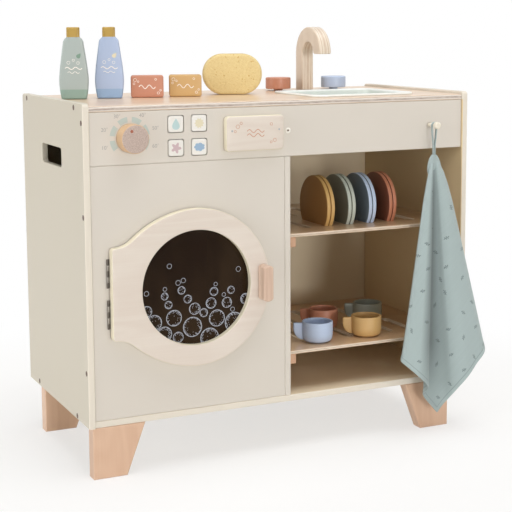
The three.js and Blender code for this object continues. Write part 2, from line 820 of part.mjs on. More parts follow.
function sinkBasin () {
  const halfX = sinkWidth / 2
  const halfY = sinkLength / 2
  const ring = (inset, z) => roundedRing(halfX - inset, halfY - inset, sinkRadius - inset / 2, z)
  const wallOut = sinkRim - sinkWall
  const rimRound = sinkRimHeight / 2
  const floorInset = sinkRim + sinkTaper
  return ringStack([
    ring(floorInset - sinkWall + sinkFloorRound, -sinkDepth),
    ring(floorInset - sinkWall, sinkFloorRound - sinkDepth),
    ring(wallOut, 0),
    ring(0, 0),
    ring(0, rimRound),
    ring(rimRound, sinkRimHeight),
    ring(sinkRim - rimRound, sinkRimHeight),
    ring(sinkRim, rimRound),
    ring(floorInset, sinkFloorRound + sinkWall - sinkDepth),
    ring(floorInset + sinkFloorRound, sinkWall - sinkDepth)
  ])
}

function tap () {
  const archZ = tapHeight - tapOuterRadius
  const outline = new THREE.Shape([new THREE.Vector2(tapInnerRadius, 0), new THREE.Vector2(tapOuterRadius, 0),
    ...arc(0, archZ, tapOuterRadius, 0, halfTurn), ...arc(0, archZ, tapInnerRadius, halfTurn, 0)])
  const spout = sideBoard(outline, tapThickness, tapEdge).translate(-tapThickness / 2, 0, 0)
  const tenonLength = worktopThickness + tailLength
  const tenon = rod(tenonRadius, tenonLength + tapEdge)
  return join([spout, tenon.translate(0, (tapOuterRadius + tapInnerRadius) / 2, -tenonLength)])
}

function tapKnob () {
  const foot = knobRise
  const top = foot + knobHeight
  const tail = -worktopThickness - tailLength
  return turned([[0, tail], [spindleRadius, tail], [spindleRadius, 0], [knobCollarRadius, 0],
    [knobCollarRadius, foot], [knobRadius - knobEdge, foot], [knobRadius, foot + knobEdge],
    [knobRadius, top - knobEdge], [knobRadius - knobEdge, top], [0, top]])
}

function buildSink () {
  const onTop = worktopTop + seam
  place('sink_basin', sinkBasin(), materials.basin, sinkCentreX, sinkCentreY, onTop)
  place('tap', tap(), materials.palePly, tapCentreX, tapCentreY, onTop)
  place('hot_tap_knob', tapKnob(), materials.terracotta, tapCentreX - knobSpread, knobCentreY, onTop)
  place('cold_tap_knob', tapKnob(), materials.blue, tapCentreX + knobSpread, knobCentreY, onTop)
}

// Towel peg and towel

function peg () {
  const head = pegLength - pegHeadLength
  const round = pegHeadLength / 4
  const profile = turned([[0, seam - boardThickness], [pegRadius, seam - boardThickness], [pegRadius, head],
    [pegHeadRadius - round / 2, head + round / 2], [pegHeadRadius, head + 2 * round],
    [pegHeadRadius - round / 2, pegLength - round / 2], [pegHeadRadius - 2 * round, pegLength],
    [0, pegLength]])
  return profile.rotateX(quarterTurn)
}

// Where each fold of the cloth lies, seen from above, as shares of the cloth's side: X to the right and
// Y to the back of the loop, from the left edge behind, round the front folds, to the right edge behind.
const foldShares = [
  [0.06, -0.01], [-0.1, -0.013], [-0.19, -0.022], [-0.222, -0.05], [-0.17, -0.09], [-0.08, -0.104],
  [-0.025, -0.095], [-0.03, -0.072], [-0.085, -0.062], [-0.07, -0.038], [0, -0.04], [0.06, -0.066],
  [0.14, -0.1], [0.23, -0.106], [0.29, -0.08], [0.3, -0.046], [0.26, -0.01], [0.14, 0.013],
  [0, 0.02], [-0.1, 0.018]
]
const leftTurn = 3
const rightTurn = 14

// The gathered corner above the folds, from its top down: half widths and heights in the cloth's own size.
const gatherShares = [[0, 0.01], [0.015, 0.005], [0.03, -0.02], [0.062, -0.08], [0.05, -0.13], [0, -0.16]]

// The distance from the hung corner to the hem, in the direction of one fold line of the flat square.
function hemReach (share) {
  const angle = (share - 1 / 2) * quarterTurn
  return towelSide / Math.cos(quarterTurn / 2 - Math.abs(angle))
}

// One layer of the cloth: a fan from the hung corner whose fold lines keep their flat length.
function clothPoint (curve, share, along, offset) {
  const reach = towelStart + along * (hemReach(share) - towelStart)
  const spread = (reach + towelFlareStart) / towelFlareLength * towelSide
  const place = curve.getPoint(share)
  const tangent = curve.getTangent(share)
  const x = place.x * spread
  const y = place.y * spread
  const drop = Math.sqrt(Math.max(reach ** 2 - x ** 2 - y ** 2, 0))
  return new THREE.Vector3(x - tangent.y * offset, y + tangent.x * offset, -drop)
}

function clothSheet () {
  const points = foldShares.map(([x, y]) => new THREE.Vector3(x, y, 0))
  const curve = new THREE.CatmullRomCurve3(points, false, 'centripetal')
  const rings = []
  for (let column = 0; column <= towelColumns; column++) {
    const share = column / towelColumns
    const side = (offset, row) => clothPoint(curve, share, row / towelRows, offset)
    const front = Array.from({ length: towelRows + 1 }, (_, row) => side(-towelThickness / 2, row))
    const back = Array.from({ length: towelRows + 1 }, (_, row) => side(towelThickness / 2, towelRows - row))
    rings.push([...front, ...back])
  }
  return ringStack(rings)
}

// A strap round the peg whose two strands meet a little above the gather.
function towelLoop () {
  const inner = pegRadius + seam
  const foot = -towelDrop - loopThickness
  const outline = new THREE.Shape([...arc(0, 0, inner + loopThickness, 0, halfTurn),
    new THREE.Vector2(-loopThickness, foot), new THREE.Vector2(loopThickness, foot)])
  const eyeFoot = -towelDrop * loopEyeShare
  outline.holes.push(new THREE.Path([...arc(0, 0, inner, 0, halfTurn),
    new THREE.Vector2(-seam, eyeFoot), new THREE.Vector2(seam, eyeFoot)]))
  return frontBoard(outline, loopWidth).translate(0, -loopWidth / 2, 0)
}

function towelGather () {
  const profile = gatherShares.map(([radius, height]) => [radius * towelSide, height * towelSide]).reverse()
  const [first, second] = [foldShares[leftTurn], foldShares[rightTurn]]
  const spread = (towelStart + towelFlareStart) / towelFlareLength * towelSide
  const middleX = (first[0] + second[0]) / 2 * spread
  const middleY = (first[1] + second[1]) / 2 * spread
  return turned(profile).scale(1, gatherDepthShare, 1).translate(middleX, middleY, 0)
}

function towel () {
  const cloth = [clothSheet(), towelGather()].map(piece => piece.translate(0, 0, -towelDrop))
  return join([...cloth, towelLoop()])
}

function buildTowel () {
  const pegX = cabinetWidth - pegInset
  place('towel_peg', peg(), materials.palePly, pegX, frontSetback, fasciaMiddle)
  const loopY = frontSetback - (pegLength - pegHeadLength) + loopWidth / 2 + loopStandoff
  place('towel', towel(), materials.teal, pegX, loopY, fasciaMiddle)
}

// Plates: turned discs, two to a slot, each resting on the ends of the slot

function plate () {
  const disc = turned([[0, 0], [plateRadius - plateEdge, 0], [plateRadius, plateEdge],
    [plateRadius, plateThickness - plateEdge], [plateRadius - plateEdge, plateThickness],
    [0, plateThickness]])
  return disc.rotateY(quarterTurn)
}

function buildPlates () {
  const colours = ['mustard', 'green', 'blue', 'terracotta']
  const looks = [materials.mustard, materials.greyGreen, materials.blue, materials.terracotta]
  const endRadius = slotWidth / 2
  const outerFace = plateThickness + plateGap / 2
  const reach = slotLength / 2 - endRadius + Math.sqrt(endRadius ** 2 - outerFace ** 2)
  const centreZ = upperShelfTop + Math.sqrt((plateRadius + seam) ** 2 - reach ** 2)
  const centreY = shelfCentreY - slotRowShift
  colours.forEach((colour, index) => {
    const middle = slotCentreX(index + 1)
    place(`${colour}_plate_left`, plate(), looks[index], middle - outerFace, centreY, centreZ)
    place(`${colour}_plate_right`, plate(), looks[index], middle + plateGap / 2, centreY, centreZ)
  })
}

// Cups: turned bodies on a small foot, with a solid tab handle

function cup () {
  const bellyX = cupRadius - cupBelly
  const bellyZ = cupFootHeight + cupBelly
  const belly = arc(bellyX, bellyZ, cupBelly, -quarterTurn, 0, cupBellySteps).map(p => [p.x, p.y])
  const inner = cupRadius - cupWall
  const innerFloor = cupFootHeight + cupWall
  const lip = cupWall / 4
  const body = turned([[0, 0], [cupFootRadius, 0], [cupFootRadius, cupFootHeight], ...belly,
    [cupRadius, cupHeight - lip], [cupRadius - lip, cupHeight], [inner + lip, cupHeight],
    [inner, cupHeight - lip], [inner, bellyZ], [inner - cupBelly + cupWall, innerFloor], [0, innerFloor]])
  const root = cupRadius - cupWall / 2
  const end = cupRadius + cupTabReach
  const tabTop = cupHeight - cupTabDrop
  const curveTop = tabTop - cupTabHeight / 3
  const curve = arc(-root, curveTop, end - root, halfTurn, halfTurn + quarterTurn)
  curve.forEach(p => p.setY(curveTop + (p.y - curveTop) * (2 * cupTabHeight / 3) / (end - root)))
  const top = [new THREE.Vector2(-root, tabTop), new THREE.Vector2(-end, tabTop)]
  const outline = new THREE.Shape([...top, ...curve])
  const tab = frontBoard(outline, cupTabThickness, cupWall / 4).translate(0, -cupTabThickness / 2, 0)
  return join([body, tab])
}

function buildCups () {
  const looks = { blue: materials.blue, terracotta: materials.terracotta, mustard: materials.mustard,
    green: materials.greyGreen }
  for (const [colour, [shareX, shareY, degrees]] of Object.entries(cupShares)) {
    const x = shelfLeft + shareX * (insideRight - shelfLeft)
    const y = shelfSetback + shareY * shelfDepth
    const turn = THREE.MathUtils.degToRad(degrees)
    place(`${colour}_cup`, cup(), looks[colour], x, y, lowerShelfTop + seam, turn)
  }
}

// Washing things on the worktop

// Half widths and heights of the bottle's outline, as shares of its width and height.
const bottleShares = [[0.43, 0], [0.48, 0.13], [0.5, 0.26], [0.465, 0.44],
  [0.35, 0.815], [0.235, 0.86], [0.235, 1]]

function bottle () {
  const right = bottleShares.map(([x, z]) => [x * bottleWidth, z * bottleHeight])
  const left = right.map(([x, z]) => [-x, z]).reverse()
  return frontBoard(polygon([...right, ...left]), bottleThickness, bottleEdge)
    .translate(0, -bottleThickness / 2, 0)
}

function soapBar () {
  return frontBoard(centredRectangle(barWidth, barHeight, barRadius), barDepth, barEdge)
    .translate(0, -barDepth / 2, barHeight / 2)
}

function spongeBlock () {
  const radius = spongeHeight / 2
  const reach = spongeWidth / 2 - radius
  const outline = new THREE.Shape([...arc(reach, 0, radius, -quarterTurn, quarterTurn),
    ...arc(-reach, 0, radius, quarterTurn, halfTurn + quarterTurn)])
  return frontBoard(outline, spongeThickness, spongeEdge)
    .translate(0, -spongeThickness / 2, radius)
}

function buildWashingThings () {
  const stand = (name, geometry, look, [shareX, shareY]) => place(name, geometry, look,
    insideLeft + shareX * washingSpan, shareY * cabinetDepth, worktopTop + seam, displayTurn)
  stand('green_bottle', bottle(), materials.sage, washingShares.greenBottle)
  stand('blue_bottle', bottle(), materials.blue, washingShares.blueBottle)
  stand('terracotta_soap_bar', soapBar(), materials.terracotta, washingShares.terracottaBar)
  stand('mustard_soap_bar', soapBar(), materials.mustard, washingShares.mustardBar)
  stand('sponge', spongeBlock(), materials.sponge, washingShares.sponge)
}

buildCabinet()
buildLegs()
buildShelves()
buildDoor()
buildControls()
buildDrawer()
buildSink()
buildTowel()
buildPlates()
buildCups()
buildWashingThings()

// The origin: on the floor, under the middle of the box that holds everything.
const box = new THREE.Box3().setFromObject(unit)
const middle = box.getCenter(new THREE.Vector3())
unit.position.set(-middle.x, -middle.y, -box.min.z)

const group = new THREE.Group()
group.add(unit)

export default group
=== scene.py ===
# %% [markdown]
# # A toy laundry unit
# The unit is a child's washing machine beside a small sink, built from painted boards and pale wood. The
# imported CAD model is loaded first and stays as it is. Boards whose shape is right only get a better finish.
# Turned, rounded and soft pieces are worked out again as smooth surfaces, and each stands for its CAD node.

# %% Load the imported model
import math
from functools import partial

import bpy
import numpy as np
from mathutils import Matrix, Vector


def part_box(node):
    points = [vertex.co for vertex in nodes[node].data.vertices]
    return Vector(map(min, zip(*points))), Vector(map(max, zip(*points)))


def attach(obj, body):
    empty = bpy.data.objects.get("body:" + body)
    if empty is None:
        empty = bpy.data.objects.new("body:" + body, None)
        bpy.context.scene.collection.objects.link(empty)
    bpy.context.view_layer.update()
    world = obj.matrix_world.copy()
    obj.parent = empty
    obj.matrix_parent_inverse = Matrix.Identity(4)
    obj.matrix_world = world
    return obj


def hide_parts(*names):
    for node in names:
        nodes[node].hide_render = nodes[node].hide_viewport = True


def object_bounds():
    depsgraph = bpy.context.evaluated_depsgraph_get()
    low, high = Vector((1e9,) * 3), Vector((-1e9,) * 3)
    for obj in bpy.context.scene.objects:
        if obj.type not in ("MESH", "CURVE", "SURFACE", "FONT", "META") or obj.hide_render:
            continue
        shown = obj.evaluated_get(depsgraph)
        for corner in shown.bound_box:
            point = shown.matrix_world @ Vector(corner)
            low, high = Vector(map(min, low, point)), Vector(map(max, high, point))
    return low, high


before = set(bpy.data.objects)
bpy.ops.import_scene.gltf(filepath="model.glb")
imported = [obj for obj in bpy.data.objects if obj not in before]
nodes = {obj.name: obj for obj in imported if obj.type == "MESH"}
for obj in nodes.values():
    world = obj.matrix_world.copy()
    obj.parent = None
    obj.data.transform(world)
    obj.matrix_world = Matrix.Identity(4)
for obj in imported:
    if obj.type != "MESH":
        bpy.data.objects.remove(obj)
cad_box = [[float(c) for c in corner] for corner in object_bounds()]
print("CAD box", np.round(cad_box, 3).tolist(), "nodes", len(nodes))

# %% [markdown]
# Places are given in millimetres from the low front corner of the left side panel, which is how a maker
# would mark out the boards. Sizes could be typed in again, but they are read from the model's boxes where
# they can be, so the looks follow the model. Short helpers turn millimetres into the model's metres, find a
# place in a node's box, and turn colours from the usual 0 to 255 into the linear values that a renderer
# wants.

# %% Places and colours
MM = 0.001
HALF = math.pi / 2
UP, AHEAD, BACK, ALONG = [0, 0, 1], [0, -1, 0], [0, 1, 0], [1, 0, 0]
origin_corner = np.array(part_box("left_side_panel")[0], float)


def at(x, y, z):
    """Metres of a place in millimetres: corner + (x, y, z)/1000."""
    return origin_corner + MM * np.array([x, y, z], float)


def low_high(node):
    """A node's lowest and highest corners, as arrays."""
    return np.array(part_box(node), float)


def spot(node, x=0.5, y=0.5, z=0.5):
    """A place in a node's box: low + (x, y, z)*(high - low)."""
    low, high = low_high(node)
    return low + (high - low) * [x, y, z]


def size_of(node):
    """The three sides of a node's box in millimetres."""
    low, high = low_high(node)
    return (high - low) / MM


def tint(red, green, blue):
    """Linear colour of an sRGB one: ((c + 0.055)/1.055)**2.4 above 0.04, and c/12.92 below."""
    c = np.array([red, green, blue]) / 255
    linear = np.where(c > 0.04045, ((c + 0.055) / 1.055) ** 2.4, c / 12.92)
    return (*[float(v) for v in linear], 1.0)


print("left panel's corner", np.round(origin_corner, 4).tolist())

# %% [markdown]
# ## Surfaces from formulas
# Every new piece is a grid of points computed with numpy. Points are numbered row by row, so the faces
# follow from counting alone. A closed stack of rings makes most of the toy: a knob, a cup, a board with
# soft edges. Modifiers could round the CAD meshes instead, but a formula keeps every point where it is
# wanted. Each shell's volume is measured, and a shell that came out inside out is turned.

# %% From rings of points to meshes


def grid_faces(rows, columns, close_rows=False, close_columns=False):
    """Quads (i, j), (i, j+1), (i+1, j+1), (i+1, j) of a grid, wrapped round where a direction closes."""
    i = np.arange(rows if close_rows else rows - 1)[:, None]
    j = np.arange(columns if close_columns else columns - 1)[None, :]
    below, right = (i + 1) % rows, (j + 1) % columns
    quads = [i * columns + j, i * columns + right, below * columns + right, below * columns + j]
    return np.stack(np.broadcast_arrays(*quads), axis=-1).reshape(-1, 4)


def loft(rings, ends="fan"):
    """Surface through closed rings, with a fan from each end ring to its middle, or the ends joined."""
    rings = np.asarray(rings, float)
    count, around = rings.shape[:2]
    points = rings.reshape(-1, 3)
    faces = grid_faces(count, around, ends == "join", True).tolist()
    if ends == "fan":
        first, base = len(points), (count - 1) * around
        j = np.arange(around)
        k = (j + 1) % around
        faces += np.stack([k, j, np.full(around, first)], 1).tolist()
        faces += np.stack([base + j, base + k, np.full(around, first + 1)], 1).tolist()
        points = np.vstack([points, rings[[0, -1]].mean(axis=1)])
    return points, faces


def together(shells):
    """Several shells in one list of points and faces, each shell's numbers moved up past the last one's."""
    starts = np.cumsum([0] + [len(points) for points, _ in shells])
    faces = [[v + start for v in face] for start, (_, own) in zip(starts, shells) for face in own]
    return np.vstack([points for points, _ in shells]), faces


def mesh_points(mesh):
    """The places of a mesh's vertices, one row each."""
    points = np.empty(3 * len(mesh.vertices))
    mesh.vertices.foreach_get("co", points)
    return points.reshape(-1, 3)


def volume(mesh):
    """Signed volume of a closed mesh: the sum of a.(b x c)/6 over its triangles."""
    mesh.calc_loop_triangles()
    corners = np.empty(3 * len(mesh.loop_triangles), np.int32)
    mesh.loop_triangles.foreach_get("vertices", corners)
    a, b, c = mesh_points(mesh)[corners.reshape(-1, 3)].transpose(1, 0, 2)
    return float(np.einsum("ij,ij->i", a, np.cross(b, c)).sum() / 6)


def linked(name, data):
    """A new object in the scene."""
    made = bpy.data.objects.new(name, data)
    bpy.context.scene.collection.objects.link(made)
    return made


def piece(name, shell, body, slot, material, stands_for=(), sharp=40):
    """Makes the mesh of a piece, faces outwards, smooth but for corners past the sharp angle."""
    points, faces = shell
    mesh = bpy.data.meshes.new(name)
    mesh.from_pydata(np.asarray(points).tolist(), [], faces)
    if volume(mesh) < 0:
        mesh.flip_normals()
    mesh.shade_smooth()
    mesh.set_sharp_from_angle(angle=math.radians(sharp))
    mesh.materials.append(material)
    made = linked(name, mesh)
    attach(made, body)
    if stands_for:
        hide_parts(*stands_for)
    print(name, len(points), "points on", body)
    return made


print("a tube of 4 rings of 8 points has", len(grid_faces(4, 8, close_columns=True)), "faces")

# %% [markdown]
# Corners of real wood are eased with sandpaper. `soften` does that to a line of corners with a short
# parabola, which is simpler than an arc because it needs no centre. `turned` spins such a profile, as a
# lathe does, and closes it with one point at each end of the axis.

# %% Soft corners and the lathe


def full_turn(count):
    """Evenly spaced angles of one whole turn."""
    return np.linspace(0, 2 * np.pi, count, endpoint=False)


def polar(radius, angle):
    """Points (radius*cos(angle), radius*sin(angle))."""
    return np.stack([radius * np.cos(angle), radius * np.sin(angle)], -1)


def unit(ways):
    """Directions of length 1: each way divided by its own length."""
    return ways / np.linalg.norm(ways, axis=-1, keepdims=True)


def soften(corners, radius, steps=5, closed=False):
    """Rounds corners: P becomes P + d*((1-t)**2*a + t**2*b), with a and b towards its two neighbours."""
    corners = np.asarray(corners, float)
    ways = [np.roll(corners, shift, axis=0) - corners for shift in (1, -1)]
    lengths = [np.linalg.norm(way, axis=1) for way in ways]
    reach = np.minimum(np.broadcast_to(radius, len(corners)), 0.48 * np.minimum(*lengths))
    a, b = (way / np.maximum(length, 1e-9)[:, None] * reach[:, None] for way, length in zip(ways, lengths))
    t = np.linspace(0, 1, steps + 1)[None, :, None]
    curve = corners[:, None] + (1 - t) ** 2 * a[:, None] + t ** 2 * b[:, None]
    if closed:
        return curve.reshape(-1, corners.shape[1])
    return np.vstack([corners[:1], curve[1:-1].reshape(-1, corners.shape[1]), corners[-1:]])


def rod(radius, low, high, ease, steps=3):
    """Profile of a cylinder with eased ends: out at its low end, along it, and in at its high end."""
    return soften([[0, low], [radius, low], [radius, high], [0, high]], ease, steps)


def turned(profile, start, axis, around=72):
    """Lathe surface: (radius, height) goes to start + height*axis + radius*(cos(a)*side + sin(a)*up)."""
    profile, axis = MM * np.asarray(profile, float), np.array(axis, float)
    side = np.cross(axis, [0.0, 0.0, 1.0] if abs(axis[2]) < 0.5 else [0.0, 1.0, 0.0])
    a = full_turn(around)[None, :, None]
    circle = np.cos(a) * side + np.sin(a) * np.cross(axis, side)
    rings = np.asarray(start) + profile[1:-1, 1, None, None] * axis + profile[1:-1, 0, None, None] * circle
    points, faces = loft(rings)
    points[-2:] = np.asarray(start) + profile[[0, -1], 1, None] * axis
    return points, faces


print("a soft corner has", len(soften([[0, 0], [1, 0], [1, 1]], 0.2)) - 2, "points")

# %% [markdown]
# A sawn board has one outline and a rounded edge all round it, as a router cuts. Scaling the outline would
# make the edge wider at the ends than at the sides, so each point moves square to the outline instead.
# `board` carries a quarter circle round any outline in this way.

# %% Outlines and the router


def rounded_box(width, height, radius, steps=6):
    """Outline of a rectangle whose corners are quarter circles round the centres of its four corners."""
    turn = np.linspace(0, HALF, steps + 1)[None] + np.arange(4)[:, None] * HALF
    sign_x, sign_y = np.array([1, -1, -1, 1])[:, None], np.array([1, 1, -1, -1])[:, None]
    x = sign_x * (width / 2 - radius) + radius * np.cos(turn)
    y = sign_y * (height / 2 - radius) + radius * np.sin(turn)
    return np.stack([x, y], -1).reshape(-1, 2)


def lengths_along(line):
    """Length of a line of points from its start to each point."""
    return np.r_[0, np.cumsum(np.linalg.norm(np.diff(line, axis=0), axis=1))]


def resampled(outline, count):
    """The closed outline again with evenly spaced points, at equal steps of its own length."""
    closed = np.vstack([outline, outline[:1]])
    length = lengths_along(closed)
    s = np.linspace(0, length[-1], count, endpoint=False)
    return np.stack([np.interp(s, length, closed[:, k]) for k in (0, 1)], -1)


def inset(outline, distance):
    """Moves each point of a counter-clockwise outline inwards, square to the line of its neighbours."""
    along = unit(np.roll(outline, -1, axis=0) - np.roll(outline, 1, axis=0))
    return outline - distance * np.stack([along[:, 1], -along[:, 0]], -1)


def level(outline, depth):
    """The outline's points, all at one depth."""
    return np.c_[outline, np.full(len(outline), depth)]


def board_rings(outline, thickness, edge, steps=4):
    """Rings (x, y, depth) of a board, whose edge is inset e*(1-sin a) at depth e*(1-cos a)."""
    a = np.linspace(0, HALF, steps + 1)
    eased = list(zip(edge * (1 - np.sin(a)), edge * (1 - np.cos(a))))
    rings = [level(inset(outline, i), d) for i, d in eased]
    rings += [level(inset(outline, i), thickness - d) for i, d in eased[::-1]]
    centre = np.r_[outline.mean(axis=0), 0]
    near, far = (centre + (ring - centre) * [0.5, 0.5, 1] for ring in (rings[0], rings[-1]))
    near[:, 2], far[:, 2] = 0, thickness
    return np.array([near, *rings, far])


def placed(points, origin, u=(1, 0, 0), v=(0, 0, 1), w=(0, 1, 0)):
    """Local millimetres (a, b, c) to metres: origin + a*u + b*v + c*w."""
    return np.asarray(origin) + MM * (np.asarray(points, float) @ np.array([u, v, w], float))


def board(outline, thickness, edge, origin, **axes):
    """A board with rounded edges, drawn facing the front and placed by its three directions."""
    return loft(placed(board_rings(np.asarray(outline, float), thickness, edge), origin, **axes))


print("a rounded rectangle has", len(rounded_box(2, 1, 0.2)), "points")

# %% [markdown]
# ## Finishes
# Each effect is one node group with named sockets: lacquered grain, the glued layers of plywood, sprayed
# paint, woven cotton. A material places a group, feeds it this object's own coordinates and sets plain
# numbers on the shader itself. Node trees are long to write out one by one, so a few helpers add a node,
# fill it and hand back its output.

# %% Tools for node trees


def add(tree, kind, values=None, **options):
    """Adds a node, sets its options, and fills or links its inputs."""
    made = tree.nodes.new(kind)
    for key, value in options.items():
        setattr(made, key, value)
    for key, value in (values or {}).items():
        if isinstance(value, bpy.types.NodeSocket):
            tree.links.new(value, made.inputs[key])
        else:
            made.inputs[key].default_value = value
    return made


def calc(tree, operation, *values, clamp=False):
    """The output of a Math node."""
    made = add(tree, "ShaderNodeMath", dict(enumerate(values)), operation=operation, use_clamp=clamp)
    return made.outputs[0]


def flip(tree, value):
    """One minus a number."""
    return calc(tree, "SUBTRACT", 1.0, value)


def vectors(tree, operation, values):
    """The output of a Vector Math node: a vector, or the number of a LENGTH."""
    made = add(tree, "ShaderNodeVectorMath", values, operation=operation)
    return made.outputs["Value" if operation == "LENGTH" else 0]


def xyz(tree, vector):
    """The three parts of a vector."""
    return add(tree, "ShaderNodeSeparateXYZ", {0: vector}).outputs


def blend(tree, factor, first, second):
    """The output of a Mix node for colours."""
    return add(tree, "ShaderNodeMix", {0: factor, 6: first, 7: second}, data_type="RGBA").outputs[2]


def noise(tree, vector, scale, detail=3.0, distortion=0.0, stretch=None):
    """The grey value of a Noise texture, on a vector whose axes may be stretched first."""
    if stretch:
        vector = add(tree, "ShaderNodeMapping", {"Vector": vector, "Scale": stretch}).outputs[0]
    values = {"Vector": vector, "Scale": scale, "Detail": detail, "Distortion": distortion}
    return add(tree, "ShaderNodeTexNoise", values).outputs[0]


def ramp(tree, value, low, high):
    """A smooth step from 0 at low to 1 at high."""
    values = {0: value, 1: low, 2: high, 3: 0.0, 4: 1.0}
    return add(tree, "ShaderNodeMapRange", values, interpolation_type="SMOOTHSTEP").outputs[0]


def feed(node, **values):
    """Links values to a node's inputs by their names, with _ for a space."""
    for name, value in values.items():
        node.id_data.links.new(value, node.inputs[name.replace("_", " ")])


VECTOR, COLOUR, NUMBER = "NodeSocketVector", "NodeSocketColor", "NodeSocketFloat"
LOOK = [("Color", COLOUR), ("Height", NUMBER)]


def new_group(name, inputs, outputs=LOOK):
    """An empty node group with its sockets: the group, what it is given, and its end."""
    group = bpy.data.node_groups.new(name, "ShaderNodeTree")
    for title, kind, value in inputs:
        socket = group.interface.new_socket(name=title, in_out="INPUT", socket_type=kind)
        if value is not None:
            socket.default_value = value
    for title, kind in outputs:
        group.interface.new_socket(name=title, in_out="OUTPUT", socket_type=kind)
    print("group", name, "takes", [title for title, _, _ in inputs])
    return group, group.nodes.new("NodeGroupInput").outputs, group.nodes.new("NodeGroupOutput")


def two_tones(pale, dark):
    """The first inputs of a group that goes from a pale tone to a dark one."""
    return [("Vector", VECTOR, None), ("Pale", COLOUR, (*pale, 1)), ("Dark", COLOUR, (*dark, 1))]


print("most groups give", [title for title, _ in LOOK])

# %% [markdown]
# Wood grain is a noise drawn out along the board. Lines where the noise passes steady heights look like the
# growth rings that a saw has cut through, and a much finer noise gives the fibres. A Wave texture would
# give straighter, more even lines than pale wood has. The grain runs along X of the vector, so a Mapping
# node turns it on each board.

# %% Grain of wood
grain, given, end = new_group("wood_grain", [
    *two_tones((0.8, 0.7, 0.6), (0.6, 0.4, 0.3)), ("Rings", NUMBER, 30.0), ("Contrast", NUMBER, 0.5)])
broad = noise(grain, given["Vector"], 2.2, 2.0, 0.35, stretch=(1.1, 7.0, 7.0))
waves = calc(grain, "SINE", calc(grain, "MULTIPLY", broad, given["Rings"]))
rings = calc(grain, "MULTIPLY_ADD", waves, 0.5, 0.5)
fibre = noise(grain, given["Vector"], 1.0, 4.0, stretch=(14.0, 620.0, 620.0))
patch = noise(grain, given["Vector"], 1.0, 2.0, stretch=(3.0, 18.0, 18.0))
mixed = calc(grain, "MULTIPLY_ADD", fibre, 0.75, calc(grain, "MULTIPLY", rings, patch))
factor = calc(grain, "MULTIPLY", calc(grain, "SUBTRACT", mixed, 0.1), given["Contrast"], clamp=True)
feed(end, Color=blend(grain, factor, given["Pale"], given["Dark"]), Height=mixed)

# %% [markdown]
# The sawn edge of plywood shows its veneers, one along the board and the next across it, with a dark glue
# line in between. Layers could be modelled as thin boards, but they are only seen as lines. The group
# counts layers along Z of its vector and bends them a little with noise.

# %% Layers of plywood
plies, given, end = new_group("ply_layers", [
    *two_tones((0.8, 0.7, 0.6), (0.5, 0.35, 0.25)), ("Layers", NUMBER, 700.0), ("Glue", NUMBER, 0.7)])
ply = partial(calc, plies)
wobble = noise(plies, given["Vector"], 1.0, 3.0, stretch=(14.0, 14.0, 60.0))
count = ply("MULTIPLY_ADD", wobble, 1.4, ply("MULTIPLY", xyz(plies, given["Vector"])[2], given["Layers"]))
line = flip(plies, ramp(plies, ply("PINGPONG", count, 1.0), 0.06, 0.38))
shade = ply("MULTIPLY", ramp(plies, ply("PINGPONG", count, 2.0), 0.7, 1.3), 0.45)
specks = noise(plies, given["Vector"], 1.0, 2.0, stretch=(90.0, 90.0, 500.0))
dark = ply("MULTIPLY", ply("MAXIMUM", line, shade), given["Glue"])
dark = ply("MULTIPLY", dark, ply("MULTIPLY_ADD", specks, 1.3, 0.2), clamp=True)
feed(end, Color=blend(plies, dark, given["Pale"], given["Dark"]), Height=flip(plies, dark))

# %% [markdown]
# Sprayed paint is never quite even. Its tone drifts a little over a hand's width, and close up the surface
# has the fine bumps of dried spray over sanded wood. One plain colour would look like plastic, so two
# noises give the drift and the bumps.

# %% Sprayed paint
paint, given, end = new_group("sprayed_paint", [
    ("Vector", VECTOR, None), ("Tone", COLOUR, (0.7, 0.65, 0.55, 1)), ("Drift", NUMBER, 0.05)],
    [*LOOK, ("Rough", NUMBER)])
cloud = noise(paint, given["Vector"], 9.0, 2.0)
gain = calc(paint, "MULTIPLY", calc(paint, "SUBTRACT", cloud, 0.5), given["Drift"])
feed(end, Color=vectors(paint, "SCALE", {0: given["Tone"], "Scale": calc(paint, "ADD", 1.0, gain)}),
     Height=noise(paint, given["Vector"], 1100.0, 2.0), Rough=calc(paint, "MULTIPLY_ADD", cloud, 0.16, 0.38))

# %% [markdown]
# The edges of a painted board are eased, so they catch a thin line of light. A CAD board keeps its sharp
# corners, so the finish does this: near an edge, where a point is close to two faces of the board's box at
# once, the paint is a little paler, which is a painted highlight, and the surface dips.

# %% Eased edges with a painted highlight
eased, given, end = new_group("eased_edge_painted_highlight", [
    ("Vector", VECTOR, None), ("Low", VECTOR, (0, 0, 0)), ("High", VECTOR, (1, 1, 1)),
    ("Width", NUMBER, 0.001)], [("Mask", NUMBER)])
edge = partial(calc, eased)
above = vectors(eased, "SUBTRACT", {0: given["Vector"], 1: given["Low"]})
under = vectors(eased, "SUBTRACT", {0: given["High"], 1: given["Vector"]})
a, b, c = xyz(eased, vectors(eased, "MINIMUM", {0: above, 1: under}))
second = edge("MAXIMUM", edge("MINIMUM", a, b), edge("MINIMUM", edge("MAXIMUM", a, b), c))
rough_edge = edge("MULTIPLY_ADD", noise(eased, given["Vector"], 130.0, 2.0), 0.0006, second)
feed(end, Mask=flip(eased, ramp(eased, rough_edge, 0.0003, given["Width"])))

# %% [markdown]
# A material starts the same way each time: a shader, the object's coordinates, and a Bump node between a
# group's height and the shader's normal. A tone is either a colour or worked out from the coordinates, as
# for a bottle with a painted cap.

# %% Starting a material


def new_material(name, roughness, coat=0.0, metallic=0.0):
    """A material with one Principled shader, whose plain numbers sit on its own sockets."""
    material = bpy.data.materials.new(name)
    material.use_nodes = True
    shader = material.node_tree.nodes["Principled BSDF"]
    for socket, value in (("Roughness", roughness), ("Coat Weight", coat), ("Coat Roughness", 0.12),
                          ("Metallic", metallic)):
        shader.inputs[socket].default_value = value
    return material, material.node_tree, shader


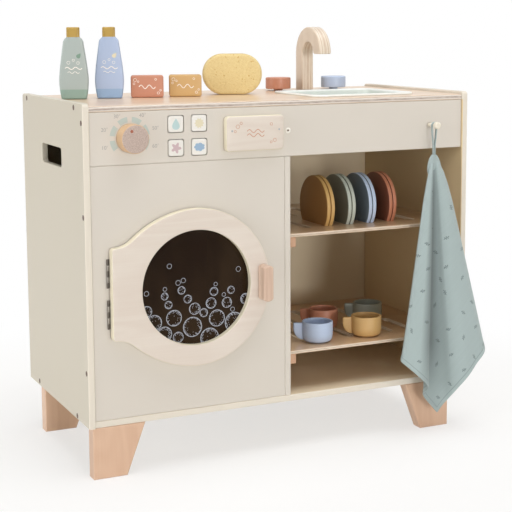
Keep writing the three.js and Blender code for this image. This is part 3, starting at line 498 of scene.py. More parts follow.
def place_group(tree, group, **values):
    """Puts a node group into a material's tree, fills its inputs and gives its outputs."""
    return add(tree, "ShaderNodeGroup", values, node_tree=group).outputs


def object_vector(tree, turn=(0, 0, 0), scale=(1, 1, 1)):
    """The object's own coordinates, turned so that the pattern lies the right way."""
    source = add(tree, "ShaderNodeTexCoord").outputs["Object"]
    return add(tree, "ShaderNodeMapping", {"Vector": source, "Rotation": turn, "Scale": scale}).outputs[0]


def bump(shader, height, strength, distance):
    """Feeds the shader's normal from a height."""
    values = {"Height": height, "Strength": strength, "Distance": distance}
    feed(shader, Normal=add(shader.id_data, "ShaderNodeBump", values).outputs[0])


def painted(name, tone, drift=0.05, coat=0.0):
    """Sprayed paint of one tone, or of the tone that a function of the tree and the vector gives."""
    material, tree, shader = new_material(name, 0.45, coat)
    vector = object_vector(tree)
    tone = tone(tree, vector) if callable(tone) else tint(*tone)
    coated = place_group(tree, paint, Vector=vector, Tone=tone, Drift=drift)
    feed(shader, Base_Color=coated["Color"], Roughness=coated["Rough"])
    bump(shader, coated["Height"], 0.12, 0.0002)
    return material


white = painted("white_paint", (236, 234, 230), drift=0.03)
print("white paint has", len(white.node_tree.nodes), "nodes")

# %% [markdown]
# The cabinet's boards are painted, and light that comes back from wood and paint makes them warmer inside
# than outside. That warmth is painted in: the inner tones are painted warm bounce light and shade. A board
# can get a second tone on one side of a plane, just behind its outer face, so one board is cool outside and
# has painted warm light inside with no cut in its mesh.

# %% Painted boards


def painted_board(node, tone, inner=None, side=0, where=0.0, below=None):
    """Paint with a painted highlight on the eased edges of one board, in another tone before a place on one
    axis and below a height.
    """
    material, tree, shader = new_material(node + "_paint", 0.45)
    vector, tone, wide = object_vector(tree), tint(*tone), 0.0004
    if inner:
        parts = xyz(tree, vector)
        outside = ramp(tree, parts[side], where - wide, where + wide)
        if below:
            outside = calc(tree, "MAXIMUM", outside, ramp(tree, parts[2], below - wide, below + wide))
        tone = blend(tree, outside, tint(*inner), tone)
    coated = place_group(tree, paint, Vector=vector, Tone=tone, Drift=0.05)
    low, high = low_high(node)
    near = place_group(tree, eased, Vector=vector, Low=low, High=high, Width=0.0016)[0]
    # The paler paint near each edge is a painted highlight.
    painted_highlight = {0: coated["Color"], "Scale": calc(tree, "MULTIPLY_ADD", near, 0.09, 1.0)}
    feed(shader, Base_Color=vectors(tree, "SCALE", painted_highlight), Roughness=coated["Rough"])
    bump(shader, calc(tree, "MULTIPLY_ADD", near, -4.0, coated["Height"]), 0.16, 0.0002)
    return material


CREAM, SIDE_CREAM, EDGE_CREAM = (216, 210, 202), (214, 208, 194), (228, 221, 209)
# The inner tones are painted warm bounce light: a warmer cream for the back and the floor of the cabinet, and
# a darker warm shade for the right panel's inner face.
INSIDE_PAINTED_BOUNCE_LIGHT, FLOOR_PAINTED_BOUNCE_LIGHT, INSIDE_PAINTED_BOUNCE_SHADE = (230, 214, 184), (244, 228, 200), (226, 204, 164)
print("outer tones", CREAM, SIDE_CREAM, EDGE_CREAM)

# %% [markdown]
# Solid wood shows its grain on every face. Plywood shows grain on its two broad faces and layers round its
# edge, which the normal across the board tells apart, so neither needs a mesh of its own.

# %% Wood and plywood


def grained(tree, turn, pale, dark, rings, contrast=0.5):
    """The outputs of the grain, along the turned X axis."""
    return place_group(tree, grain, Vector=object_vector(tree, turn), Pale=tint(*pale), Dark=tint(*dark),
                       Rings=rings, Contrast=contrast)


def wooden(name, pale, dark, turn=(0, 0, 0), rings=60.0, contrast=0.5, roughness=0.4, coat=0.15):
    """Lacquered wood with its grain along the turned X axis."""
    material, tree, shader = new_material(name, roughness, coat)
    lines = grained(tree, turn, pale, dark, rings, contrast)
    feed(shader, Base_Color=lines["Color"])
    bump(shader, lines["Height"], 0.12, 0.0003)
    return material


def plywood(name, pale, dark, edge, glue, layers, coat, roughness, turn=(0, 0, 0), rings=26.0, across=2):
    """Grain on the faces and layers on the sawn edges, told apart by the normal across the board."""
    material, tree, shader = new_material(name, roughness, coat)
    lines = grained(tree, turn, pale, dark, rings)
    layered = place_group(tree, plies, Vector=object_vector(tree, turn), Pale=tint(*edge), Dark=tint(*glue),
                          Layers=layers, Glue=0.95)
    facing = calc(tree, "ABSOLUTE", xyz(tree, add(tree, "ShaderNodeTexCoord").outputs["Normal"])[across])
    on_edge = flip(tree, ramp(tree, facing, 0.55, 0.8))
    feed(shader, Base_Color=blend(tree, on_edge, lines["Color"], layered["Color"]))
    bump(shader, lines["Height"], 0.1, 0.0003)
    return material


UPRIGHT, DEEP = (0, HALF, 0), (0, 0, HALF)
print("turns of the grain: upright", np.round(UPRIGHT, 3).tolist(), "deep", np.round(DEEP, 3).tolist())

# %% [markdown]
# The toy's paints are soft pastels that cups, knobs and soap bars share, so they are one table. The inks of
# the printed pictures are a second table, which also says how far each tone drifts.

# %% Paints and inks
# The back panel's warm cream is painted bounce light from the wood inside the cabinet.
inside_cream_painted_bounce_light = painted("inside_painted_bounce_light_paint", INSIDE_PAINTED_BOUNCE_LIGHT, drift=0.08)
TOY_TONES = {"mustard": ("mustard_paint", (206, 168, 110)), "green": ("grey_green_paint", (160, 168, 160)),
             "blue": ("blue_paint", (183, 200, 228)), "terracotta": ("terracotta_paint", (198, 136, 110))}
toy_paint = {colour: (slot, painted(slot, tone, coat=0.1)) for colour, (slot, tone) in TOY_TONES.items()}
INKS = {"white": (246, 242, 236, 0.02), "blue": (184, 192, 208, 0.1), "teal": (186, 212, 214, 0.04),
        "sand": (226, 218, 190, 0.04), "rose": (206, 182, 188, 0.04), "sky": (152, 180, 208, 0.04),
        "grey": (152, 150, 150, 0.04), "clay": (200, 146, 116, 0.06), "arc": (188, 200, 196, 0.04),
        "rust": (166, 92, 66, 0.04), "leaf": (120, 150, 134, 0.04)}
ink = {name: painted("print_" + name, tone, drift) for name, (*tone, drift) in INKS.items()}
bronze = painted("bronze_screw", (86, 60, 42), 0.04)
print("toy paints", list(toy_paint), "inks", list(ink))

# %% [markdown]
# The worktop is plywood with dark glue lines under clear lacquer, the shelves are quieter plywood, and the
# legs, battens and handle are beech. The door's board is so pale that its grain hardly shows. The dial's
# face is end grain, which is cut pores and not lines, so it gets a speckle of its own.

# %% Woods of the unit
worktop_ply = plywood("worktop_plywood", (226, 200, 172), (204, 170, 136), (238, 230, 222), (104, 68, 48),
                      layers=520.0, coat=0.5, roughness=0.4)
worktop_ply.node_tree.nodes["Principled BSDF"].inputs["Coat Roughness"].default_value = 0.3
shelf_ply = plywood("shelf_plywood", (222, 190, 154), (192, 153, 114), (228, 214, 196), (170, 140, 110),
                    layers=620.0, coat=0.4, roughness=0.3)
door_wood = wooden("door_wood", (226, 217, 208), (211, 196, 185), roughness=0.5, coat=0.05)
door_rim = wooden("door_rim_grain", (234, 227, 206), (224, 214, 188), contrast=0.4, roughness=0.5, coat=0.05)
beech_up = wooden("upright_beech", (222, 188, 162), (202, 160, 132), UPRIGHT)
# The rear legs get a paler beech than the front legs: painted light under the cabinet, where they stand in
# its shade.
rear_beech_painted_light = wooden("rear_legs_painted_light_beech", (238, 204, 178), (218, 177, 149), UPRIGHT)
handle_beech = wooden("handle_beech", (230, 206, 188), (198, 166, 146), UPRIGHT, 70.0, 0.8)
beech_back = wooden("long_beech", (216, 176, 146), (186, 138, 106), DEEP, contrast=0.6)
dial_side = wooden("dial_side_grain", (222, 190, 152), (196, 158, 122), DEEP, 60.0, 0.6, 0.5, 0.05)
peg_wood = wooden("peg_wood", (236, 230, 216), (222, 212, 192), UPRIGHT, contrast=0.4)
pale_wood = wooden("pale_wood", (226, 210, 188), (200, 176, 148), DEEP, 40.0)

dial_wood, tree, shader = new_material("dial_end_grain", 0.6)
vector = object_vector(tree)
pores, clouds = noise(tree, vector, 2400.0, 2.0), noise(tree, vector, 700.0, 2.0)
speckle = ramp(tree, calc(tree, "MULTIPLY_ADD", clouds, 0.35, calc(tree, "MULTIPLY", pores, 0.75)), 0.4, 0.7)
feed(shader, Base_Color=blend(tree, speckle, tint(172, 152, 142), tint(206, 188, 180)))
bump(shader, pores, 0.3, 0.0002)
print("materials", len(bpy.data.materials))

# %% [markdown]
# Metal, the smoked pane and the basin are smooth. Steel gets fine brush lines in its roughness, because a
# mirror would look like chrome. The pane is see-through plastic with a little haze, and its dark brown is
# partly its smoke tint and partly painted shade of the dark space behind it. The basin's rim is paler than
# its bowl, by height, since it is one shell.

# %% Metal, pane and basin


def brushed(name, tone, roughness):
    """Metal whose roughness changes along fine brush lines."""
    material, tree, shader = new_material(name, roughness, metallic=1.0)
    shader.inputs["Base Color"].default_value = tint(*tone)
    lines = noise(tree, object_vector(tree, scale=(40, 40, 3000)), 1.0, 2.0)
    feed(shader, Roughness=calc(tree, "MULTIPLY_ADD", lines, 0.25, roughness - 0.1))
    return material


steel = brushed("brushed_steel", (176, 176, 178), 0.32)
dark_steel = brushed("dark_steel", (104, 98, 92), 0.5)
barrel_steel = brushed("barrel_steel", (150, 145, 138), 0.4)

# The pane's dark brown is partly its smoke tint and partly painted shade of the dark space behind it.
pane_smoke_and_painted_shade, tree, shader = new_material("smoke_tint_and_painted_shade", 0.12)
shader.inputs["Specular IOR Level"].default_value = 0.08
shader.inputs["Alpha"].default_value = 0.9
haze = noise(tree, object_vector(tree, scale=(3, 3, 1)), 8.0, 3.0)
feed(shader, Base_Color=blend(tree, ramp(tree, haze, 0.35, 0.75), tint(37, 24, 14), tint(56, 42, 27)))

basin, tree, shader = new_material("basin_enamel", 0.35)
RIM_FROM, RIM_FULL = 0.0035, 0.001
rim_height, vector = low_high("sink_basin")[1][2], object_vector(tree)
on_rim = ramp(tree, xyz(tree, vector)[2], rim_height - RIM_FROM, rim_height - RIM_FULL)
coated = place_group(tree, paint, Vector=vector, Drift=0.02,
                     Tone=blend(tree, on_rim, tint(224, 231, 226), tint(248, 251, 250)))
feed(shader, Base_Color=coated["Color"])
bump(shader, coated["Height"], 0.05, 0.0001)
print("materials with metal, pane and basin", len(bpy.data.materials))

# %% [markdown]
# Boards whose CAD shape is right keep their mesh, and their finish goes into the object's own material
# slot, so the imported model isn't changed. A loop over a table dresses the painted boards, and wood and
# metal follow by name.

# %% Finishes on the CAD boards


def second_finish(made, material, axis, least=0.8):
    """Gives the faces whose normal leans along an axis a second material."""
    mesh = made.data
    mesh.materials.append(material)
    normals = np.empty(3 * len(mesh.polygons))
    mesh.polygons.foreach_get("normal", normals)
    chosen = (np.abs(normals.reshape(-1, 3)[:, axis]) > least).astype(np.int32)
    mesh.polygons.foreach_set("material_index", chosen)


def dressed(material, *names):
    """Gives CAD nodes a finish through their objects' own material slots."""
    for name in names:
        for place in nodes[name].material_slots:
            place.link = "OBJECT"
            place.material = material


FRONT_SKIN, SIDE_SKIN = 0.001, 0.0009
left_low, right_low, under_low = (
    low_high(name)[0] for name in ("left_side_panel", "right_side_panel", "bottom_panel"))
# The right panel's inner tone and the bottom panel's main tone are painted warm bounce light and shade.
for name, *finish in (
        ("centre_divider", CREAM), ("fascia", CREAM), ("machine_front_panel", CREAM),
        ("left_side_panel", SIDE_CREAM, EDGE_CREAM, 1, left_low[1] + FRONT_SKIN),
        ("right_side_panel", EDGE_CREAM, INSIDE_PAINTED_BOUNCE_SHADE, 0, right_low[0] + SIDE_SKIN, low_high("worktop")[0][2]),
        ("bottom_panel", FLOOR_PAINTED_BOUNCE_LIGHT, EDGE_CREAM, 1, under_low[1] + FRONT_SKIN)):
    dressed(painted_board(name, *finish), name)
corners = [f"{height}_{side}_" for height in ("upper", "lower") for side in ("left", "right")]
dressed(inside_cream_painted_bounce_light, "back_panel")
dressed(worktop_ply, "worktop")
dressed(shelf_ply, "upper_shelf", "lower_shelf")
dressed(beech_up, "front_left_leg", "front_right_leg")
dressed(rear_beech_painted_light, "rear_left_leg", "rear_right_leg")
dressed(handle_beech, "door_handle")
dressed(beech_back, *[corner + "batten" for corner in corners])
dressed(white, *[corner + "button" for corner in corners])
dressed(pale_wood, "button_housing", "soap_drawer_tray", "soap_drawer_guide")
dressed(steel, "door_magnet")
print("CAD boards and fittings that keep their shape are dressed")

# %% [markdown]
# ## The door
# The real door is one board: a round rim that leaves its circle along a flatter shoulder, turns through a
# hollow fillet and ends in a straight tab for the hinges. A free curve could be bent to fit, but four arcs
# that touch each other draw it as its maker did, and only their radii are chosen.

# %% Outline of the door
door_low, door_high = low_high("door_ring")
pane_middle, pane_face = spot("door_window"), spot("door_window", y=0)
rim_radius, tab_reach = (door_high[0] - pane_middle[0]) / MM, (pane_middle[0] - door_low[0]) / MM
TAB_HALF, TAB_CORNER, RING_WIDTH, REBATE, REBATE_DEPTH = 63.0, 4.0, 29.5, 6, 3.3
SHOULDER_SHARE, SHOULDER_FROM = 1.37, math.radians(100)


def arc(x, z, radius, first, last, steps):
    """Points (x + r*cos(a), z + r*sin(a)) for a from first to last."""
    a = np.linspace(first, last, steps + 1)
    return [x, z] + polar(radius, a)


def door_outline(count=420):
    """Rim, shoulder, hollow fillet and tab corner above the middle, then the same mirrored below it."""
    shoulder = SHOULDER_SHARE * rim_radius
    sx, sz = (rim_radius - shoulder) * polar(1, SHOULDER_FROM)
    corner_x = TAB_CORNER - tab_reach
    run, rise = corner_x - sx, TAB_HALF - sz
    fillet = (run ** 2 + rise ** 2 - shoulder ** 2) / (2 * (shoulder - rise))
    meeting = math.atan2(rise + fillet, run)
    upper = np.vstack([
        arc(0, 0, rim_radius, 0, SHOULDER_FROM, 60),
        arc(sx, sz, shoulder, SHOULDER_FROM, meeting, 20)[1:],
        arc(corner_x, TAB_HALF + fillet, fillet, meeting - math.pi, -HALF, 20)[1:],
        arc(corner_x, TAB_HALF - TAB_CORNER, TAB_CORNER, HALF, math.pi, 8)[1:]])
    return resampled(np.vstack([upper, upper[::-1][:-1] * [1, -1]]), count)


print("rim radius", round(rim_radius, 2), "outline of", len(door_outline()), "points")

# %% [markdown]
# The board's surface runs between that outline and the window's circle, point to point at the same angle.
# So one closed grid holds the front, both soft edges, the back and the rebate for the pane, where cutting a
# hole with a Boolean would leave long thin faces.

# %% Section of the door


def door_rings(outline, window, rebate, thickness, depth, edge=1.5, soft=1.0):
    """Rows (x, z, depth) round the board's section: front, outer edges, back, rebate, window edge."""
    around, seat = unit(outline), thickness - depth
    inner, outer = around * (window + soft), inset(outline, edge)
    t = np.linspace(0, HALF, 6)
    rows = [(inner * (1 - s) + outer * s, 0.0) for s in np.linspace(0, 1, 7)]
    rows += [(inset(outline, edge * (1 - np.sin(a))), edge * (1 - np.cos(a))) for a in t[1:]]
    rows += [(inset(outline, soft * (1 - np.sin(a))), thickness - soft * (1 - np.cos(a))) for a in t[::-1]]
    rows += [(around * rebate, thickness), (around * rebate, seat), (around * window, seat)]
    rows += [(around * (window + soft * (1 - np.sin(a))), soft * (1 - np.cos(a))) for a in t[:0:-1]]
    return np.array([level(points, height) for points, height in rows])


window_radius = rim_radius - RING_WIDTH
ring_shape = door_rings(door_outline(), window_radius, window_radius + REBATE, size_of("door_ring")[1],
                        REBATE_DEPTH)
door_origin = [pane_middle[0], door_low[1], pane_middle[2]]
door_ring = piece("door_board", loft(placed(ring_shape, door_origin), "join"), "door", "door_ply", door_rim,
                  ["door_ring"])
second_finish(door_ring, door_wood, 1)
print("window radius", round(window_radius, 2))

# %% [markdown]
# Each butt hinge has thin leaves hidden behind the door and a rolled barrel that shows at its side. The
# barrel is a row of turned knuckles with a gap between them, so that each half swings with its own body.
# The leaves are sheet metal that reaches each knuckle.

# %% Hinges
PIN_X, PIN_Y, KNUCKLE, KNUCKLE_GAP = 30.2, -0.1, 1.45, 0.3
LEAF, LEAF_START, LEAF_THICK, LEAF_CORNER, LEAF_SOFT, LEAF_ENDS = 18.0, 2.5, 0.8, 0.8, 0.2, (0.5, 39.5)
LINK_START, LINK_WIDE, LINK_LESS = 0.8, 2.6, 0.4
HINGES = {"upper": 191.0, "lower": 135.0}


def knuckle(low, high, z):
    """One rolled knuckle: a short cylinder with eased ends, half a gap inside two heights of the barrel."""
    profile = rod(KNUCKLE, low + KNUCKLE_GAP / 2, high - KNUCKLE_GAP / 2, 0.4)
    return turned(profile, at(PIN_X, PIN_Y, z), UP, 28)


def leaf_sheet(y, low, high, z, start, width):
    """A thin sheet with eased corners, from a distance beside the pin to the right."""
    outline = rounded_box(width, high - low, LEAF_CORNER, 3)
    return board(outline, LEAF_THICK, LEAF_SOFT, at(PIN_X + start + width / 2, y, z + (low + high) / 2))


knuckle_ends = [0.2, 7.8, 15.8, 23.8, 31.8, 39.8]
spans = list(zip(knuckle_ends, knuckle_ends[1:]))
halves = (("fixed", "cabinet", dark_steel, spans[::2], 1.35, 1.2),
          ("door", "door", barrel_steel, spans[1::2], 0.3, 0.35))
for height, z in HINGES.items():
    for name, body, metal, own, leaf_y, link_y in halves:
        shells = [knuckle(low, high, z) for low, high in own]
        shells.append(leaf_sheet(leaf_y, *LEAF_ENDS, z, LEAF_START, LEAF - LEAF_START))
        shells += [leaf_sheet(link_y, low + LINK_LESS, high - LINK_LESS, z, LINK_START, LINK_WIDE)
                   for low, high in own]
        node = f"{height}_hinge_{name}_leaf"
        piece(f"{height}_{name}_barrel", together(shells), body, "steel", metal, [node])

# %% [markdown]
# Printed pictures could be an image on the surface, but then they would be as sharp as its pixels. Here
# each print is a very thin solid just in front of its surface, which stays sharp at any size and catches
# light like ink.

# %% Thin prints
INK, ALMOST_ROUND = 0.1, 6.28


def flat_print(outline, depth=INK):
    """A thin print: the closed outline at depth 0 and at minus depth, in front of its surface."""
    return np.array([level(outline, d) for d in (0.0, -depth)])


def disc_print(x, z, radius, depth, sides=8):
    """A flat disc as a low prism."""
    return flat_print(arc(x, z, radius, 0, 2 * math.pi, sides)[:-1], depth)


def ring_print(x, z, radius, width, depth=INK, steps=40, first=0.0, last=2 * math.pi):
    """A thin ring or arc: a rectangle of width and depth carried round a circle."""
    closed = last - first > ALMOST_ROUND
    a = np.linspace(first, last, steps + 1)[:steps if closed else None, None]
    r = radius + width * np.array([-0.5, 0.5, 0.5, -0.5])[None]
    d = np.broadcast_to(depth * np.array([0.0, 0.0, -1.0, -1.0]), (len(a), 4))
    rows = np.stack([x + r * np.cos(a), z + r * np.sin(a), d], -1)
    return loft(rows, "join" if closed else "fan")


def printed(name, shells, origin, body, slot, material, **axes):
    """One object of several thin prints, placed on its surface."""
    points, faces = together([shell if isinstance(shell, tuple) else loft(shell) for shell in shells])
    return piece(name, (placed(points, origin, **axes), faces), body, slot, material, sharp=20)


def bubble_prints(width, steps, places):
    """Small printed rings, each at (x, z) with its radius."""
    return [ring_print(x, z, r, width, INK, steps) for x, z, r in places]


print("a printed ring has", len(ring_print(0, 0, 5, 1)[0]), "points")

# %% [markdown]
# The pane sits in the rebate behind the board. Bubbles are printed on it: small ones rising, large ones
# crowded at the bottom. Each is a thin ring with a sprinkling of dots inside it. Placing them by hand would
# take long, so a seeded random packing gives a layout of its own, where no bubble lies on another.

# %% Pane and bubbles
PANE, PANE_THICK, SEEN_PANE, EDGE_FREE = 85.7, 3, 84.5, 3
BUBBLE_INK, BUBBLE_GAP, FIELD, TRIES, DOT = 0.12, 1.2, 82, 40, 0.45
pane_profile = rod(PANE, 0, PANE_THICK, 0.4)
piece("door_pane", turned(pane_profile, pane_face, BACK, 128), "door", "smoked_pane", pane_smoke_and_painted_shade, ["door_window"])

random = np.random.default_rng(23)
bubbles = []
for radius, amount, low, high in ((12.2, 9, -84, -40), (8.4, 7, -80, -24), (5.2, 7, -76, 2), (3, 9, -74, 34)):
    tries = TRIES * amount
    for x, z in zip(random.uniform(-FIELD, FIELD, tries), random.uniform(low, high, tries)):
        size = radius * (0.85 + 0.3 * ((x * 7 + z * 13) % 1))
        clear = all(math.hypot(x - bx, z - bz) > size + br + BUBBLE_GAP for bx, bz, br in bubbles)
        if amount and clear and math.hypot(x, z) < SEEN_PANE - EDGE_FREE:
            bubbles.append((x, z, size))
            amount -= 1
prints = []
for x, z, size in bubbles:
    away, outward = math.hypot(x, z), math.atan2(z, x)
    cut = (SEEN_PANE ** 2 - away ** 2 - size ** 2) / (2 * away * size)
    first = math.acos(cut) if cut < 1 else 0.0
    last = 2 * math.pi - first
    prints.append(ring_print(x, z, size, 0.4 + 0.03 * size, BUBBLE_INK, 40, outward + first, outward + last))
    count = int(size * 7) if size > 4 else 0
    for a, r in zip(random.uniform(first + 0.1, last - 0.1, count) + outward,
                    size - random.exponential(0.12 * size, count) - 0.5):
        prints.append(disc_print(x + r * math.cos(a), z + r * math.sin(a), DOT, BUBBLE_INK, 5))
printed("pane_bubbles", prints, pane_face, "door", "white_board", ink["blue"])
print("bubbles", len(bubbles), "prints", len(prints))

# %% [markdown]
# ## Controls
# The dial is turned from solid wood: its face is end grain and its side is long grain. The whole knob is
# one lathe profile, down to the spindle behind it, and the faces that look forwards get another finish.

# %% Dial
dial_face = spot("dial_knob", y=0)
dial_radius, dial_tail = size_of("dial_knob")[:2] / [2, 1]
DIAL_THICK, SPINDLE = 22, 4
dial_profile = soften([[0, 0], [dial_radius, 0], [dial_radius, DIAL_THICK], [SPINDLE, DIAL_THICK],
                       [SPINDLE, dial_tail], [0, dial_tail]], [0, 2.2, 0.8, 0.3, 0.5, 0], 6)
dial = piece("dial_turning", turned(dial_profile, dial_face, BACK, 96), "dial", "beech", dial_side,
             ["dial_knob"])
second_finish(dial, dial_wood, 1, 0.85)
dot = disc_print(-5.0, 10.6, 2.1, 0.12, 24)
printed("dial_dot", [dot], dial_face, "dial", "terracotta_paint", ink["rust"])
print("dial radius", round(dial_radius, 2))

# %% [markdown]
# Temperature arcs and plain numbers are printed round the dial on the board behind. The arcs stand at even
# angles. The numbers come from Blender's own font, made a mesh at once, because a text object can't be
# placed like the other prints.

# %% Arcs and numbers round the dial

fascia_face = np.array([dial_face[0], low_high("fascia")[0][1], dial_face[2]])
ARC_STEP, ARC_HALF, ARC_RADIUS, ARC_WIDTH = math.radians(44.5), math.radians(15), 24.7, 7.3
centres = HALF + (np.arange(6) - 2.5) * ARC_STEP
arcs = [ring_print(0, 0, ARC_RADIUS, ARC_WIDTH, INK, 12, a - ARC_HALF, a + ARC_HALF) for a in centres]
printed("dial_arcs", arcs, fascia_face, "cabinet", "painted_board", ink["arc"])


def lettering(text, size, x, z):
    """Points and faces of a word as a thin mesh, centred on a place, from Blender's own font."""
    curve = bpy.data.curves.new("numbers", "FONT")
    curve.body, curve.size, curve.extrude, curve.offset = text, size, 0.05, -0.012 * size
    curve.align_x, curve.align_y = "CENTER", "CENTER"
    holder = bpy.data.objects.new("numbers", curve)
    mesh = bpy.data.meshes.new_from_object(holder)
    points = mesh_points(mesh)
    faces = [list(polygon.vertices) for polygon in mesh.polygons]
    bpy.data.objects.remove(holder)
    bpy.data.curves.remove(curve)
    bpy.data.meshes.remove(mesh)
    return np.c_[points[:, 0] + x, points[:, 1] + z, -points[:, 2] - 0.05], faces


label_places = [(-35.0, -11.8), (-35.2, 12.0), (-17.6, 29.2), (18.4, 29.6), (36.6, 11.8), (36.4, -12.2)]
labels = [lettering(f"{10 * (n + 1)}°", 7.2, x, z) for n, (x, z) in enumerate(label_places)]
printed("dial_numbers", labels, fascia_face, "cabinet", "painted_board", ink["grey"])
print("labels", len(labels))

# %% [markdown]
# Each button carries a small pastel picture. A drop, a sun, a flower and a cloud are closed curves in polar
# form, so each needs one line and no drawing.

# %% Pictures on the buttons
a = full_turn(96)
round_way = polar(1, a)
drop = np.stack([7.4 * np.sin(a) * np.sin(a / 2) ** 1.3, 7.6 * np.cos(a)], -1)[::-1]
sun_shape = round_way * (6.1 + 0.9 * np.cos(10 * a))[:, None]
flower = round_way * (5.8 + 1.8 * np.cos(5 * a + 0.5))[:, None]
cloud_shape = round_way * (5.2 + 1.2 * np.abs(np.sin(3.5 * a)))[:, None] * [1.25, 0.92]
pictures = zip(corners, (drop, sun_shape, flower, cloud_shape), ("teal", "sand", "rose", "sky"))
for corner, outline, colour in pictures:
    button = corner + "button"
    printed(button + "_picture", [flat_print(outline)], spot(button, y=0), button + "_cap", "white_board",
            ink[colour])

# %% [markdown]
# The soap drawer's front is a thick board with well rounded edges. Its print is a wavy line among bubbles.
# A wavy line is a strip: a curve moved half its width to both sides.

# %% Soap drawer


def strip_print(x, z, width, depth=INK):
    """A thin strip: a rectangle of width and depth along a curve, plus and minus w/2 along its own normal."""
    line = np.stack([x, z], -1)
    along = unit(np.gradient(line, axis=0))
    side = np.stack([-along[:, 1], along[:, 0]], -1) * width / 2
    section = [(line - side, 0.0), (line + side, 0.0), (line + side, -depth), (line - side, -depth)]
    return loft(np.stack([level(edge, d) for edge, d in section], 1))


def wave(half_length, height, z, width, share=1.0, points=50):
    """Two periods of a sine as a strip, z + height*sin(2*pi*x/half_length), drawn in by a share."""
    x = np.linspace(-half_length, half_length, points)
    return strip_print(share * x, z + height * np.sin(x / half_length * 2 * np.pi), width)


DRAWER_CORNER, DRAWER_SOFT = 5.5, 3.0
drawer_size, drawer_face = size_of("soap_drawer_front"), spot("soap_drawer_front", y=0)
front_outline = rounded_box(drawer_size[0], drawer_size[2], DRAWER_CORNER, 8)
front_board = board(front_outline, drawer_size[1], DRAWER_SOFT, drawer_face)
drawer_board = piece("drawer_board", front_board, "soap_drawer", "door_ply", door_rim, ["soap_drawer_front"])
second_finish(drawer_board, door_wood, 1)
waves = [wave(13, 2.2, z, 1.0, points=60) for z in (3.2, -2.6)]
rings = bubble_prints(0.6, 28, ((-27, 10, 2.6), (-22, 14.5, 1.7), (-31, 3.5, 1.6), (24, 12, 1.8),
                                (29, -10.5, 2.4), (23.5, -13, 1.5)))
printed("drawer_print", waves + rings, drawer_face, "soap_drawer", "terracotta_paint", ink["clay"])

# %% [markdown]
# The screws and bolts of the unit are low domes, turned like the knobs. A slot or a cross would be smaller
# than a pixel at this distance. The heads of one side are one object, because they never move apart.

# %% Screws and bolts
SCREW_RADIUS, SCREW_DOME, SUNK, SMALL_SCREW, BOLT_RADIUS, BOLT_DOME = 1.9, 0.5, 0.4, 1.6, 4.4, 0.4
WASHER, WASHER_EDGE, WASHER_HIGH, WASHER_HOLE, WASHER_DISH = 4.1, 1.4, 1.8, 2.0, 0.9
STRIKE, STRIKE_HIGH, STRIKE_HOLE, STRIKE_DISH, LET_IN = 6, 1.5, 2, 1.1, 0.1


def screws(name, places, axis, radius, dome, body, material):
    """Domed heads as one object: r and dome*(1 - (r/R)**2), from the back to the middle of the front."""
    r = np.linspace(radius, 0, 7)
    head = np.vstack([[0, -SUNK], [radius, -SUNK], np.c_[r, dome * (1 - (r / radius) ** 2)]])
    heads = together([turned(head, place, axis, 24) for place in places])
    return piece(name, heads, body, "steel", material, sharp=30)


drawer_places = [drawer_face + MM * np.array([x, 0.2, 4.2]) for x in (-35.5, 36)]
screws("drawer_screws", drawer_places, AHEAD, SCREW_RADIUS, SCREW_DOME, "soap_drawer", steel)
stop = at(300.3, 2.5, 392.1)
washer = soften([[0, -SUNK], [WASHER, -SUNK], [WASHER, WASHER_EDGE], [WASHER_HOLE, WASHER_HIGH],
                 [SMALL_SCREW, WASHER_DISH], [0, WASHER_DISH]], 0.5, 3)
piece("fascia_washer", turned(washer, stop, AHEAD, 40), "cabinet", "white_board", ink["white"])
in_washer = stop - [0, WASHER_DISH * MM, 0]
screws("fascia_screw", [in_washer], AHEAD, SMALL_SCREW, BOLT_DOME, "cabinet", bronze)
bolt_places = [(271, 433), (38, 432), (6.6, 413), (6.1, 288), (7.4, 76), (243, 6.8), (54, 5)]
for side, out, end in (("left", -1, 0), ("right", 1, 1)):
    face = low_high(side + "_side_panel")[end][0] - out * LET_IN * MM
    places = [[face, *at(0, y, z)[1:]] for y, z in bolt_places]
    screws(side + "_screws", places, [out, 0, 0], BOLT_RADIUS, BOLT_DOME, "cabinet", bronze)
strike_profile = soften([[0, 0], [STRIKE, 0], [STRIKE, STRIKE_HIGH], [STRIKE_HOLE, STRIKE_HIGH],
                         [SMALL_SCREW, STRIKE_DISH], [0, STRIKE_DISH]], 0.2, 3)
piece("strike_disc", turned(strike_profile, spot("door_strike_plate", y=0), BACK, 48), "door", "steel", steel,
      ["door_strike_plate"])

# %% [markdown]
# ## Sink and tap
# The basin is one pressed shell. Its section is a line from the middle of the underside, out over the rim
# and down to the floor. Each point of that line becomes a rounded rectangle, smaller by its inset, so wall
# and rim have an even thickness with no modifier.

# %% Basin
flat_axes = {"u": (1, 0, 0), "v": (0, 1, 0), "w": (0, 0, 1)}
SINK_CORNER, LEAST_CORNER, SEAT_GAP = 22, 3, 0.3
sink_width, sink_depth, _ = size_of("sink_basin")
worktop_top = low_high("worktop")[1][2] + SEAT_GAP * MM
section = soften([[34, -54], [15, -54], [7, 0], [0, 0], [0, 2.6], [9, 2.6], [17, -52], [36, -52]],
                 [0, 12, 0.3, 0.2, 1.3, 2.4, 11, 0], 6)


def basin_ring(less, z):
    """The rim's rounded rectangle made smaller all round, at height z."""
    radius = max(SINK_CORNER - less / 2, LEAST_CORNER)
    return level(rounded_box(sink_width - 2 * less, sink_depth - 2 * less, radius, 8), z)


sink_place = [*spot("sink_basin")[:2], worktop_top]
sink_rings = placed([basin_ring(*pair) for pair in section], sink_place, **flat_axes)
piece("sink_shell", loft(sink_rings), "cabinet", "basin", basin, ["sink_basin"])

# %% [markdown]
# The tap is sawn from a thick laminated board: a post that bends over in a half circle. Its section is
# carried along that path. The layers lie along X, so their lines run round the outside of the bend.

